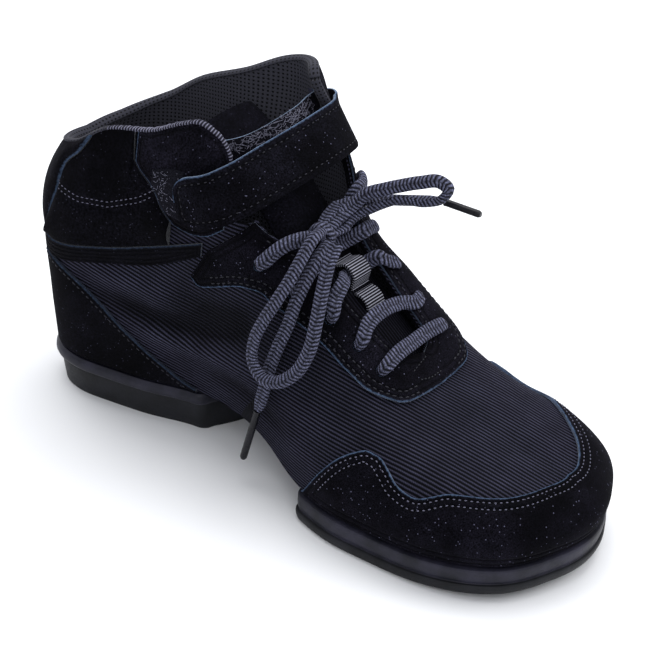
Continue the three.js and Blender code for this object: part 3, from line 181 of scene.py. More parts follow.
def sized_rows():
    """All rows of the ring in real sizes: at, turn, then pairs of distance and height"""
    rows = []
    for place in range(ring):
        mate = ring - place if place > tip else place
        at, turn, span, rise, *side, crown = outer_sections[mate]
        if place > tip:
            side = inner_sections[mate - 1]
            turn = 180 - turn
        foot, bulge, bulge_up, waist, waist_up, shoulder, shoulder_up = side
        rows.append([at * shoe_length, turn, foot * span, bulge * span, bulge_up * rise, waist * span,
                     waist_up * rise, shoulder * span, shoulder_up * rise, crown * rise])
    return np.array(rows)


sized = sized_rows()


def row_at(station):
    low = np.floor(station).astype(int)
    s = (station - low)[:, None]

    def pick(index):
        row = sized[np.mod(index, ring)].copy()
        row[:, 1] += 360 * np.floor_divide(index, ring)
        return row

    a, b, c, d = [pick(low + k) for k in (-1, 0, 1, 2)]
    return cubic(s, b, (c - a) / 2, c, (d - b) / 2)


def ridge_slope(station):
    place = np.minimum(tip - np.abs(np.mod(station, ring) - tip), tip - 0.1)
    before, after = row_at(place - 0.02), row_at(place + 0.02)
    slope = (after[:, 9] - before[:, 9]) / np.maximum(0.01, after[:, 0] - before[:, 0])
    return slope * smooth((place - 1.8) / 1.2)


# The last as a table: position at each station and each share of the way from sole to ridge
table_step = 0.02
table_shares = 240
table_stations = np.arange(0, ring + table_step / 2, table_step)


def last_table():
    rows = row_at(table_stations).T
    y, heading, foot, bulge, bulge_up, waist, waist_up, shoulder, shoulder_up, crown = rows
    angle = np.radians(heading)
    outs = [foot, bulge, waist, shoulder, 0 * foot]
    ups = [foot_up(y + foot * np.sin(angle)), bulge_up, waist_up, shoulder_up, crown]
    knots = np.stack([np.stack(outs, 1), np.stack(ups, 1)], 2)
    chords = np.linalg.norm(np.diff(knots, axis=1), axis=2)
    times = np.concatenate([0 * chords[:, :1], np.cumsum(chords, 1)], 1)
    slopes = np.zeros_like(knots)
    slopes[:, 0] = (knots[:, 1] - knots[:, 0]) / chords[:, 0, None]
    slopes[:, 4, 0] = -1
    slopes[:, 4, 1] = -ridge_slope(table_stations) * np.sin(angle)
    for i in (1, 2, 3):
        before, after = chords[:, i - 1, None], chords[:, i, None]
        slopes[:, i] = ((knots[:, i] - knots[:, i - 1]) / before * after
                        + (knots[:, i + 1] - knots[:, i]) / after * before) / (before + after)
    steps = 60
    time = times[:, -1:] * np.linspace(0, 1, steps + 1)
    index = sum((time > times[:, i:i + 1]).astype(int) for i in (1, 2, 3))
    rows = np.arange(len(table_stations))[:, None]
    span = chords[rows, index][..., None]
    s = (time - times[rows, index])[..., None] / span
    profile = cubic(s, knots[rows, index], span * slopes[rows, index],
                    knots[rows, index + 1], span * slopes[rows, index + 1])
    arcs = np.cumsum(np.linalg.norm(np.diff(profile, axis=1), axis=2), 1)
    arcs = np.concatenate([0 * arcs[:, :1], arcs], 1)
    shares = np.linspace(0, 1, table_shares + 1)
    even = np.empty((len(rows), table_shares + 1, 2))
    for k in range(len(rows)):
        for axis in (0, 1):
            even[k, :, axis] = np.interp(shares * arcs[k, -1], arcs[k], profile[k, :, axis])
    pivot = -toe_lean * smooth((y / shoe_length - 0.6) / 0.3)
    far = y[:, None] + even[..., 0] * np.sin(angle)[:, None]
    side = pivot[:, None] + even[..., 0] * np.cos(angle)[:, None] + swing(far)
    return np.stack([side, far, even[..., 1]], 2), arcs[:, -1]


last, last_reach = last_table()


def last_normals():
    along = (np.roll(last[:-1], -1, 0) - np.roll(last[:-1], 1, 0))
    along = np.concatenate([along, along[:1]])
    up = np.gradient(last, axis=1)
    normal = np.cross(along, up)
    normal /= np.maximum(1e-9, np.linalg.norm(normal, axis=2, keepdims=True))
    slope = ridge_slope(table_stations)
    ridge = np.stack([0 * slope, -slope, 0 * slope + 1], 1)
    normal[:, -1] = ridge / np.linalg.norm(ridge, axis=1, keepdims=True)
    return normal


last_out = last_normals()


def reach_at(station):
    return np.interp(np.mod(station, ring), table_stations, last_reach)


def look_up(table, station, girth):
    """Value of a table of the last at stations and girths; past the ridge it goes on down the other side"""
    station, girth = np.broadcast_arrays(np.asarray(station, float), np.asarray(girth, float))
    station, girth = station.copy(), girth.copy()
    over = girth > reach_at(station)
    girth[over] = reach_at(ring - station[over]) - (girth[over] - reach_at(station[over]))
    station[over] = ring - station[over]
    share = np.clip(girth / reach_at(station), 0, 1)
    return between(table, np.mod(station, ring) / table_step, share * table_shares)


def girth_at(station, up):
    """Girth at which the last first reaches a height"""
    station = np.asarray(station, float)
    up = np.broadcast_to(up, station.shape)
    found = np.empty(station.shape)
    shares = np.linspace(0, 1, table_shares + 1)
    heights = look_up(last, station[..., None], reach_at(station)[..., None] * shares)[..., 2]
    for k in np.ndindex(station.shape):
        line = np.maximum.accumulate(heights[k])
        found[k] = np.interp(up[k], line, shares) * reach_at(station[k])
    return found


def table_line(rows):
    """Smooth function through rows of station and value that never overshoots"""
    x = np.array([row[0] for row in rows], float)
    v = np.array([row[1] for row in rows], float)
    rises = np.diff(v) / np.diff(x)
    slopes = np.empty_like(v)
    slopes[0], slopes[-1] = rises[0], rises[-1]
    for k in range(1, len(v) - 1):
        both = rises[k - 1] * rises[k]
        slopes[k] = 0 if both <= 0 else 2 * both / (rises[k - 1] + rises[k])

    def value(station):
        s = np.clip(station, x[0], x[-1])
        i = np.clip(np.searchsorted(x, s, side="right") - 1, 0, len(x) - 2)
        span = x[i + 1] - x[i]
        return cubic((s - x[i]) / span, v[i], span * slopes[i], v[i + 1], span * slopes[i + 1])

    return value


def own(station):
    place = np.mod(station, ring)
    return np.where(place > tip, ring - place, place)


def is_inner(station):
    return np.mod(station, ring) > tip


def by_side(rows):
    """Function of the station from rows with a value for the outer and one for the inner side"""
    outer_line = table_line(rows)
    inner_line = table_line([(station, inner) for station, _, inner in rows])
    return lambda s: np.where(is_inner(s), inner_line(own(s)), outer_line(own(s)))


def up_line(rows, height=collar_height):
    line = table_line(rows)
    return lambda s: girth_at(s, line(own(s)) * height)


# Edges of the pieces on the last, as in the part's source: station, then outer and inner value
collar_end = 6.28
throat_station = 9.1
# Stations where pieces start, stop or change their edge
tab_foot, tab_side = 1.5, 2.78
collar_corner, collar_front = 3.66, 4.5
ear_rear, ear_front_outer, ear_front_inner = 3.72, 5.7, 6.05
patch_rear, patch_front = 4.1, 4.8
counter_front = 5.06
eyestay_rear, eyestay_front = 5.06, 9.78
band_front = 5.25
cap_rear = 8.33
seat_front, forefoot_rear = 5.25, 8.2
collar_rows = [
    (0, 0.775, 0.775), (1, 0.79, 0.79), (2.26, 0.835, 0.85), (3.16, 0.907, 0.93), (3.94, 0.935, 0.985),
    (4.6, 0.985, 1.04), (4.9, 1.0, 1.055), (5.25, 0.978, 1.068), (5.55, 0.925, 1.075), (5.7, 0.84, 1.06),
    (5.85, 0.762, 0.965), (6.05, 0.747, 0.87), (collar_end, 0.768, 0.79),
]
throat_rows = [
    (collar_end, 0.385, 0.31), (6.76, 0.25, 0.215), (7.18, 0.155, 0.125), (7.78, 0.15, 0.095),
    (8.32, 0.135, 0.085), (8.78, 0.113, 0.08), (8.95, 0.09, 0.068), (9.05, 0.055, 0.045),
    (throat_station, 0, 0),
]
cap_rows = [
    (8.33, 0.01, 0), (8.5, 0.08, 0.02), (8.78, 0.2, 0.14), (9.05, 0.305, 0.27), (9.3, 0.372, 0.36),
    (9.55, 0.415, 0.41), (9.78, 0.417, 0.41), (10.02, 0.385, 0.38), (10.3, 0.334, 0.355), (10.6, 0.317, 0.37),
    (11.12, 0.4, 0.45), (11.92, 0.449, 0.53), (13.04, 0.574, 0.58), (14, 0.632, 0.632),
]
counter_rows = [(0, 0.443), (1.5, 0.446), (2.3, 0.425), (3.18, 0.354), (3.8, 0.281), (4.38, 0.214),
                (4.8, 0.166), (5.06, 0.15)]
band_low_rows = [(0, 0.449), (1.74, 0.452), (3.16, 0.494), (4.14, 0.533), (5.26, 0.619)]
band_high_rows = [(0, 0.5), (1.6, 0.503), (3.16, 0.544), (4.12, 0.591), (5.26, 0.66)]
tab_rows = [(0, 0.503), (1.45, 0.52), (1.6, 0.58), (1.88, 0.68), (2.04, 0.752), (2.5, 0.81), (2.78, 0.866)]
ear_rows = [(3.66, 0.846), (3.82, 0.81), (4.04, 0.777), (4.24, 0.73), (4.42, 0.7), (4.64, 0.678),
            (4.98, 0.672), (5.32, 0.68), (5.7, 0.715)]
stay_low_rows = [
    (5.06, 0.578), (5.25, 0.553), (5.7, 0.581), (6.28, 0.622), (6.6, 0.627), (6.9, 0.6), (7.9, 0.584),
    (8.5, 0.548), (8.95, 0.525), (9.42, 0.542), (9.6, 0.57), (9.68, 0.615), (9.74, 0.68), (9.78, 0.79),
]
stay_high_rows = [(5.06, 0.59), (5.25, 0.66), (5.4, 0.715), (5.7, 0.77), (6.05, 0.835), (6.28, 0.9)]
patch_low_rows = [(4.1, 0.79), (4.3, 0.742), (4.5, 0.715), (4.8, 0.71)]
patch_high_rows = [(4.1, 0.83), (4.5, 0.85), (4.8, 0.855)]


collar_share = by_side(collar_rows)
throat_share = by_side(throat_rows)
cap_share = by_side(cap_rows)
edge_slack = 1e-6


def at_front(station):
    """In front of the throat, where the two sides of a piece are one"""
    return own(station) >= throat_station - edge_slack


def top_girth(station):
    collar = girth_at(station, collar_share(station) * collar_height)
    reach = reach_at(station)
    throat = reach - throat_share(station) * ball_width
    line = np.where(own(station) <= collar_end + edge_slack, collar, throat)
    return np.where(at_front(station), reach, line)


# Folds and creases of the worn cloth: depth and half width in mm, then points as station and girth
creases = [
    (-2.8, 5.5, [(2.4, 43), (3.4, 36.5), (4.2, 34.5), (4.95, 36), (6.1, 43), (6.6, 47)]),
    (1.5, 4.2, [(2.9, 33), (4.0, 27.5), (4.85, 25.5), (6.0, 28.5), (7.2, 31)]),
    (1.2, 5.0, [(2.6, 50), (3.4, 47), (4.2, 47.5), (5.0, 51)]),
    (-2.4, 8.5, [(4.4, 50), (5.3, 47), (6.3, 50), (7.0, 47)]),
    (-1.8, 5.0, [(5.1, 15), (6.1, 17), (7.1, 18), (7.8, 21)]),
    (-0.45, 6.0, [(8.2, 46), (9.2, 41), (10.2, 37)]),
    (0.4, 5.0, [(8.0, 33), (9.0, 29), (10.0, 28)]),
    (-1.2, 3.2, [(3.9, 97), (4.44, 106), (4.76, 112), (5.0, 115), (5.25, 116)]),
    (-1.0, 2.4, [(1.2, 82), (2.04, 80.4), (2.64, 79), (3.3, 80.4), (3.86, 86.3), (4.2, 93), (4.4, 98)]),
    (-1.0, 2.4, [(26.8, 82), (25.96, 80.4), (25.36, 79), (24.7, 80.4), (24.14, 86.3), (23.8, 93),
                 (23.6, 98)]),
    (-1.2, 5.0, [(25.4, 43), (24.4, 37), (23.4, 35), (22.4, 38), (21.6, 44)]),
    (-0.9, 6.0, [(22.6, 20), (21.6, 19), (20.6, 22)]),
]


def crease_lines():
    lines = []
    for depth, width, points in creases:
        points = np.array(points, float)
        share = np.linspace(0, len(points) - 1, 8 * len(points))
        station = np.interp(share, range(len(points)), points[:, 0])
        girth = np.interp(share, range(len(points)), points[:, 1])
        ends = np.minimum(1, np.minimum(share, share[::-1]) / (0.35 * (len(points) - 1)))
        lines.append((depth, width, look_up(last, station, girth), ends))
    return lines


crease_points = crease_lines()


def relief(base):
    """Height of the folds over the smooth last at points of it"""
    flat = base.reshape(-1, 3)
    height = np.zeros(len(flat))
    for depth, width, line, ends in crease_points:
        near = np.all((flat > line.min(0) - 3 * width) & (flat < line.max(0) + 3 * width), axis=1)
        if near.any():
            apart = np.linalg.norm(flat[near][:, None] - line[None], axis=2)
            closest = apart.argmin(1)
            height[near] += depth * np.exp(-(apart.min(1) / width) ** 2) * ends[closest]
    return height.reshape(base.shape[:-1])


def surface(station, girth, off=0.0):
    """Point over the last by a distance, with its folds"""
    base = look_up(last, station, girth)
    out = look_up(last_out, station, girth)
    out /= np.linalg.norm(out, axis=-1, keepdims=True)
    return base + out * (np.asarray(off) + relief(base))[..., None]


# Meshes
def to_frame(points):
    return (np.asarray(points, float).reshape(-1, 3) + shift) * 0.001


def make_mesh(name, points, faces, materials, uv=None, slots=None, values=None, angle=35, merge=0.00001):
    """Makes a piece from points in mm and faces; uv in mm and values have one entry a point"""
    mesh = bpy.data.meshes.new(name)
    mesh.from_pydata(to_frame(points).tolist(), [], [list(face) for face in faces])
    piece = bpy.data.objects.new(name, mesh)
    bpy.context.collection.objects.link(piece)
    for material in materials:
        mesh.materials.append(material)
    if slots is not None:
        mesh.polygons.foreach_set("material_index", np.asarray(slots, dtype=np.int32))
    if uv is not None:
        layer = mesh.uv_layers.new(name="cloth")
        corner = np.empty(len(mesh.loops), dtype=np.int32)
        mesh.loops.foreach_get("vertex_index", corner)
        layer.data.foreach_set("uv", (np.asarray(uv, float)[corner] * 0.001).astype(np.float32).ravel())
    for key, value in (values or {}).items():
        layer = mesh.attributes.new(key, "FLOAT", "POINT")
        layer.data.foreach_set("value", np.asarray(value, dtype=np.float32).ravel())
    bpy.context.view_layer.objects.active = piece
    piece.select_set(True)
    if merge:
        bpy.ops.object.mode_set(mode="EDIT")
        bpy.ops.mesh.select_all(action="SELECT")
        bpy.ops.mesh.remove_doubles(threshold=merge)
        bpy.ops.object.mode_set(mode="OBJECT")
    bpy.ops.object.shade_smooth_by_angle(angle=math.radians(angle))
    piece.select_set(False)
    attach(piece, "root")
    return piece


def grid_faces(rows, columns_, first=0, turned=False, closed=False):
    """Quads over a grid of points numbered row by row"""
    i = np.arange(rows - 1)[:, None]
    j = np.arange(columns_ if closed else columns_ - 1)[None, :]
    a = i * columns_ + j
    b = (i + 1) * columns_ + j
    c = (i + 1) * columns_ + (j + 1) % columns_
    d = i * columns_ + (j + 1) % columns_
    quads = np.stack([a, d, c, b] if turned else [a, b, c, d], 2).reshape(-1, 4)
    return quads + first


end_steps = np.array([0, 0.15, 0.45, 0.9])


def station_list(start, stop, step):
    """Stations about one step apart, measured round the foot, closer at the two ends"""
    if abs(start + stop - ring) < edge_slack:
        half = station_list(start, tip - 1e-7, step)
        return np.concatenate([half, ring - half[::-1]])
    fine = np.linspace(start, stop, 1200)
    arc = arc_of(look_up(last, fine, 0.45 * reach_at(fine)))
    inner = np.linspace(end_steps[-1], arc[-1] - end_steps[-1], max(3, int(arc[-1] / step)))
    marks = np.concatenate([end_steps[:-1], inner, arc[-1] - end_steps[:-1][::-1]])
    return np.interp(marks, arc, fine)


# Ribs of the cloth: level along the side, and across the vamp towards the inner side
rib_lay = np.array([-0.7, 0.12, 1.0])
rib_step = 0.1
rib_shares = 60
rib_passes = 700
shortest_cell = 0.05
ridge_hold = 8


def rib_table():
    """Places across and along the ribs over the last, spaced as evenly as the shape allows"""
    station = np.arange(0, ring + rib_step / 2, rib_step)[:, None]
    girth = reach_at(station) * np.linspace(0, 1, rib_shares + 1)
    point = look_up(last, station, girth)
    out = unit(look_up(last_out, station, girth))
    across = unit(rib_lay - np.sum(out * rib_lay, 2)[..., None] * out)
    along = np.cross(across, out)
    used = np.where(girth < top_girth(station[:, 0])[:, None] + 3, 1.0, 0.001)
    by_station, by_girth = np.diff(point, axis=0), np.diff(point, axis=1)
    long_s = np.linalg.norm(by_station, axis=2) + shortest_cell
    long_g = np.linalg.norm(by_girth, axis=2) + shortest_cell
    weight_s = np.minimum(used[1:], used[:-1]) * long_g.mean(1)[:-1, None] / long_s
    weight_g = np.minimum(used[:, 1:], used[:, :-1]) * np.vstack([long_s, long_s[-1:]])[:, 1:] / long_g
    crossing = (station[:, 0] > throat_station) & (station[:, 0] < tip)
    mirror = np.arange(len(station))[::-1]

    def spread(f):
        ds, dg = np.diff(f, axis=0) * weight_s, np.diff(f, axis=1) * weight_g
        total = np.zeros_like(f)
        total[1:] += ds
        total[:-1] -= ds
        total[:, 1:] += dg
        total[:, :-1] -= dg
        ridge = np.where(crossing, (f[:, -1] - f[mirror, -1]) * ridge_hold, 0)
        total[:, -1] += ridge
        total[mirror, -1] -= ridge
        return total + 1e-7 * f

    found = []
    for way in (along, across):
        goal_s = np.sum((way[1:] + way[:-1]) / 2 * by_station, 2) * weight_s
        goal_g = np.sum((way[:, 1:] + way[:, :-1]) / 2 * by_girth, 2) * weight_g
        right = np.zeros(girth.shape)
        right[1:] += goal_s
        right[:-1] -= goal_s
        right[:, 1:] += goal_g
        right[:, :-1] -= goal_g
        f = np.sum(point * way.mean((0, 1)), 2)
        rest = right - spread(f)
        step, size = rest.copy(), np.sum(rest * rest)
        for _ in range(rib_passes):
            pushed = spread(step)
            rate = size / np.sum(step * pushed)
            f += rate * step
            rest -= rate * pushed
            fresh = np.sum(rest * rest)
            step = rest + fresh / size * step
            size = fresh
        found.append(f)
    return np.stack(found, 2)


rib_places = rib_table()


def rib_map(station, girth):
    """Places along and across the ribs, in mm"""
    share = np.clip(girth / reach_at(station), 0, 1)
    return between(rib_places, np.mod(station, ring) / rib_step, share * rib_shares)


def along_value(station):
    """Place along the foot at a station"""
    s = own(station)
    grid = np.linspace(0, tip, 281)
    return np.interp(s, grid, arc_of(look_up(last, grid, 0.5 * reach_at(grid))))


def distance_to(lines, points):
    """Distance of points to the nearest of some lines, each a row of points"""
    dense = []
    for line in lines:
        arc = arc_of(line)
        marks = np.linspace(0, arc[-1], max(2, int(arc[-1] / 0.3)))
        dense.append(np.stack([np.interp(marks, arc, line[:, k]) for k in range(3)], 1))
    dense = np.concatenate(dense)
    tree = KDTree(len(dense))
    for k, point in enumerate(dense):
        tree.insert(point, k)
    tree.balance()
    flat = points.reshape(-1, 3)
    return np.array([tree.find(point)[2] for point in flat]).reshape(points.shape[:-1])


# Up to this station the fold value is lowered above the collar band; the canvas there shows darker with
# painted shade
shaded_front = 5.95
band_shade = 3.0


def panel(name, start, stop, low, high, under, over, materials, step=1.5, corner=0.55, drop=0.4, joined=None,
          loop=False, mirror=False, pale="high"):
    """Closed piece on the last between two edges. Faces: 0 outside, 1 inside, 2 cut edges.
    under and over give the heights from station, share of the way up and distance to the nearest edge."""
    stations = station_list(start, stop, step)
    if mirror:
        stations = ring - stations[::-1]
    a = np.maximum(0, low(stations))
    b = np.maximum(a + 0.02, np.minimum(reach_at(stations), high(stations)))
    count = max(3, int(np.max(b - a) / step))
    shares = []
    for low_girth, high_girth in zip(a, b):
        wide = high_girth - low_girth
        close = np.minimum(end_steps, wide * np.array([0, 0.08, 0.16, 0.24]))
        middle = np.linspace(close[-1], wide - close[-1], count)
        shares.append(np.concatenate([close[:-1], middle, (wide - close[:-1])[::-1]]) / wide)
    shares = np.array(shares)
    wide = (b - a)[:, None]
    girth = a[:, None] + wide * shares
    station = np.repeat(stations[:, None], girth.shape[1], 1)
    base = look_up(last, station, girth)
    free = np.ones(len(stations), bool) if joined is None else ~joined(stations)
    lines = [base[:, 0]]
    if free.any():
        edge = np.flatnonzero(free)
        for run in np.split(edge, np.flatnonzero(np.diff(edge) > 1) + 1):
            if len(run) > 1:
                lines.append(base[run, -1])
    if not loop:
        lines += [base[0], base[-1]] if joined is None else [base[0 if not mirror else -1]]
    border = distance_to(lines, base)
    rims = {"high": base[free, -1], "low": base[:, 0], "start": base[0], "stop": base[-1]}
    raw = distance_to([rims[word] for word in pale.split()], base)
    # Painted shade: the fold value darkens the canvas in fold troughs and lightens it on ridges; above the
    # collar band it is lowered further for more painted shade
    band_girth = np.interp(own(station), *np.array(band_high_rows).T) * collar_height
    above_band = (own(station) < shaded_front) & (girth > band_girth)
    fold = relief(base) - band_shade * above_band
    round_off = drop * np.clip(1 - border / corner, 0, 1) ** 2
    outer = surface(station, girth, over(station, shares, border) - round_off)
    inner = surface(station, girth, under(station, shares, border))
    rows, across = girth.shape
    count = rows * across
    faces = [grid_faces(rows, across), grid_faces(rows, across, first=count, turned=True)]
    slots = [np.zeros(len(faces[0])), np.ones(len(faces[1]))]
    i = np.arange(rows - 1)
    top_open = np.ones(rows - 1, bool)
    if joined is not None:
        top_open = ~(joined(stations[:-1]) & joined(stations[1:]))
    lower = np.stack([i * across, count + i * across, count + (i + 1) * across, (i + 1) * across], 1)
    k = across - 1
    upper = np.stack([i * across + k, (i + 1) * across + k, count + (i + 1) * across + k,
                      count + i * across + k], 1)
    j = np.arange(across - 1)
    first = np.stack([j, j + 1, count + j + 1, count + j], 1)
    end = (rows - 1) * across
    final = np.stack([end + j, count + end + j, count + end + j + 1, end + j + 1], 1)
    for strip in (lower, upper[top_open]) if loop else (lower, upper[top_open], first, final):
        faces.append(strip)
        slots.append(np.full(len(strip), 2))
    outer_map = rib_map(station, girth).reshape(-1, 2)
    inner_map = np.stack([along_value(station), girth], 2).reshape(-1, 2)
    return {
        "points": np.concatenate([outer.reshape(-1, 3), inner.reshape(-1, 3)]),
        "faces": np.concatenate(faces), "slots": np.concatenate(slots).astype(int),
        "uv": np.concatenate([outer_map, inner_map]), "border": np.tile(border.ravel(), 2),
        "raw": np.tile(raw.ravel(), 2), "fold": np.tile(fold.ravel(), 2),
        "name": name, "materials": materials,
    }


def numbered(parts):
    """Faces of several parts, with their points counted through"""
    first = np.cumsum([0] + [len(part["points"]) for part in parts])
    return np.concatenate([part["faces"] + start for part, start in zip(parts, first)])


def together(parts, key):
    return np.concatenate([part[key] for part in parts])


def finish_panel(parts, replaces, angle=40):
    """Makes one piece of one or more panels"""
    piece = make_mesh(parts[0]["name"], together(parts, "points"), numbered(parts), parts[0]["materials"],
                      uv=together(parts, "uv"), slots=together(parts, "slots"),
                      values={key: together(parts, key) for key in ("border", "raw", "fold")}, angle=angle)
    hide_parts(replaces)
    return piece


# Materials
def shade(code):
    """Linear colour of an sRGB hex value"""
    parts = [int(code[k:k + 2], 16) / 255 for k in (1, 3, 5)]
    return [c / 12.92 if c <= 0.04045 else ((c + 0.055) / 1.055) ** 2.4 for c in parts] + [1.0]


def node(tree, kind, inputs=None, **settings):
    """Adds a node: settings by name, and inputs as a value or as another node's output"""
    made = tree.nodes.new(kind)
    for key, value in settings.items():
        setattr(made, key, value)
    for key, value in (inputs or {}).items():
        if isinstance(value, bpy.types.NodeSocket):
            tree.links.new(value, made.inputs[key])
        else:
            made.inputs[key].default_value = value
    return made


def maths(tree, operation, a, b=0.0, c=0.0):
    return node(tree, "ShaderNodeMath", {0: a, 1: b, 2: c}, operation=operation).outputs[0]


def times(tree, a, b):
    return maths(tree, "MULTIPLY", a, b)


def scaled(tree, value, factor, added):
    return maths(tree, "MULTIPLY_ADD", value, factor, added)


def blend_colour(tree, share, low, high):
    made = node(tree, "ShaderNodeMix", {"Factor": share, 6: low, 7: high}, data_type="RGBA")
    return made.outputs[2]


def noise(tree, vector, size, detail=3.0, roughness=0.5):
    """Noise with features of a real size in mm, from 0 to 1"""
    made = node(tree, "ShaderNodeTexNoise", {"Vector": vector, "Scale": 1000.0 / size, "Detail": detail,
                                             "Roughness": roughness})
    return made.outputs["Fac"]


def stretch(tree, value, low, high, to_low=0.0, to_high=1.0):
    made = node(tree, "ShaderNodeMapRange", {"Value": value, "From Min": low, "From Max": high,
                                             "To Min": to_low, "To Max": to_high})
    return made.outputs[0]


def new_material(name, roughness, sheen=0.0, sheen_tint="#ffffff", specular=0.5):
    material = bpy.data.materials.new(name)
    material.use_nodes = True
    tree = material.node_tree
    shader = tree.nodes["Principled BSDF"]
    for key, value in (("Roughness", roughness), ("Specular IOR Level", specular), ("Sheen Weight", sheen),
                       ("Sheen Roughness", 0.45), ("Sheen Tint", shade(sheen_tint))):
        shader.inputs[key].default_value = value
    return material, tree, shader


def relief_of(tree, shader, height, distance, strength=1.0):
    """Bump of a height from 0 to 1 over a real distance in mm"""
    bump = node(tree, "ShaderNodeBump", {"Strength": strength, "Distance": distance * 0.001,
                                         "Height": height})
    tree.links.new(bump.outputs[0], shader.inputs["Normal"])


def object_place(tree):
    return node(tree, "ShaderNodeTexCoord").outputs["Object"]


def paint(tree, shader, share, low, high):
    """Base colour between two hex values"""
    tree.links.new(blend_colour(tree, share, shade(low), shade(high)), shader.inputs["Base Color"])


def attribute(tree, name):
    return node(tree, "ShaderNodeAttribute", attribute_name=name).outputs["Fac"]


def cloth_place(tree):
    """Place in the cloth's own map, in metres: along, across"""
    split = node(tree, "ShaderNodeSeparateXYZ", {0: node(tree, "ShaderNodeUVMap", uv_map="cloth").outputs[0]})
    return split.outputs[0], split.outputs[1]


def wave(tree, value, pitch):
    """Smooth wave from 0 to 1 with a real pitch in mm"""
    turn = times(tree, value, 2000 * math.pi / pitch)
    return scaled(tree, maths(tree, "COSINE", turn), 0.5, 0.5)


def ribbed_canvas(name, low="#020203", high="#4f4f66", pitch=1.62, depth=0.45):
    # Cotton and polyester canvas with raised ribs: dull, violet grey tops between narrow dark lines
    material, tree, shader = new_material(name, 0.86, sheen=0.05, sheen_tint="#8d8ba8", specular=0.06)
    along, across = cloth_place(tree)
    place = object_place(tree)
    wander = times(tree, noise(tree, place, 9, 2), 0.0004)
    across = maths(tree, "ADD", across, wander)
    rib = maths(tree, "POWER", wave(tree, across, pitch), 1.9)
    slant = scaled(tree, across, 0.9, along)
    yarn = wave(tree, slant, 0.95)
    fibre = noise(tree, place, 0.45, 2)
    height = times(tree, rib, scaled(tree, yarn, 0.4, 0.6))
    height = times(tree, height, scaled(tree, fibre, 0.9, 0.5))
    worn = stretch(tree, noise(tree, place, 12, 4), 0.3, 0.72)
    # Painted shade and light: the fold value darkens the canvas in fold troughs and above the collar band,
    # and lightens it on fold ridges
    fold = attribute(tree, "fold")
    painted_fold_shading = stretch(tree, fold, -2.2, 1.6, 0.2, 1.35)
    share = times(tree, height, scaled(tree, worn, 0.35, 0.55))
    share = times(tree, share, painted_fold_shading)
    paint(tree, shader, share, low, high)
    relief_of(tree, shader, height, depth)
    return material


def lint(tree, place, spacing, size):
    """Small specks, from 0 to 1, of a size and a mean spacing in mm"""
    cell = node(tree, "ShaderNodeTexVoronoi", {"Vector": place, "Scale": 1000.0 / spacing, "Randomness": 1.0})
    speck = stretch(tree, cell.outputs["Distance"], size / spacing, 0.4 * size / spacing)
    chance = node(tree, "ShaderNodeSeparateColor", {0: cell.outputs["Color"]}).outputs[0]
    return times(tree, speck, stretch(tree, chance, 0.55, 0.6))


def brushed_suede(name, low="#010102", high="#2c2a38", rows=(), nap=0.55, depth=0.22, sheen=0.02, specks=0.7,
                  rim=0.8):
    # Napped split leather: nearly black, lighter patches, pale lint, a raw blue edge; rows are seam grooves
    material, tree, shader = new_material(name, 0.93, sheen=sheen, sheen_tint="#8f8ea6", specular=0.04)
    place = object_place(tree)
    fine = noise(tree, place, nap, 4, 0.7)
    patch = noise(tree, place, 14, 4, 0.6)
    streak = stretch(tree, noise(tree, place, 38, 3, 0.55), 0.42, 0.75, 0.25, 1.3)
    share = times(tree, stretch(tree, fine, 0.38, 0.7), stretch(tree, patch, 0.3, 0.75, 0.25, 1.0))
    share = times(tree, share, streak)
    colour = blend_colour(tree, share, shade(low), shade(high))
    colour = blend_colour(tree, times(tree, lint(tree, place, 1.7, 0.3), specks), colour,
                          shade("#6f6f88"))
    border, raw = attribute(tree, "border"), attribute(tree, "raw")
    frayed = scaled(tree, noise(tree, place, 1.3, 3, 0.7), 1.4, raw)
    frayed = stretch(tree, frayed, 1.35, 0.6, 0.0, rim)
    colour = blend_colour(tree, frayed, colour, shade("#566a88"))
    height = times(tree, fine, 0.5)
    for distance in rows:
        off = maths(tree, "DIVIDE", maths(tree, "SUBTRACT", border, distance), 0.55)
        groove = maths(tree, "EXPONENT", times(tree, times(tree, off, off), -1.0))
        height = maths(tree, "SUBTRACT", height, times(tree, groove, 2.2))
        colour = blend_colour(tree, times(tree, groove, 0.55), colour, shade("#030304"))
    tree.links.new(colour, shader.inputs["Base Color"])
    relief_of(tree, shader, height, depth)
    return material


def cut_edge(name, low="#14181f", high="#5f7294"):
    # Raw cut edge of split leather: pale blue fibres, no gloss
    material, tree, shader = new_material(name, 0.95, sheen=0.2, specular=0.2)
    place = object_place(tree)
    fibre = noise(tree, place, 0.5, 4, 0.7)
    patch = stretch(tree, noise(tree, place, 5, 3), 0.35, 0.7, 0.35, 1.0)
    share = times(tree, stretch(tree, fibre, 0.3, 0.7), patch)
    paint(tree, shader, share, low, high)
    relief_of(tree, shader, fibre, 0.3)
    return material


def moulded_rubber(name, low="#0b0c0f", high="#1d1e24", roughness=0.5, grain=1.2, depth=0.06):
    # Moulded rubber: dark grey, satin, with fine flow marks and dust in the low places
    material, tree, shader = new_material(name, roughness, specular=0.22)
    place = object_place(tree)
    dust = noise(tree, place, 11, 4, 0.6)
    fine = noise(tree, place, grain, 4, 0.65)
    paint(tree, shader, stretch(tree, dust, 0.3, 0.75), low, high)
    uneven = stretch(tree, fine, 0.2, 0.8, roughness - 0.08, roughness + 0.14)
    tree.links.new(uneven, shader.inputs["Roughness"])
    relief_of(tree, shader, fine, depth)
    return material


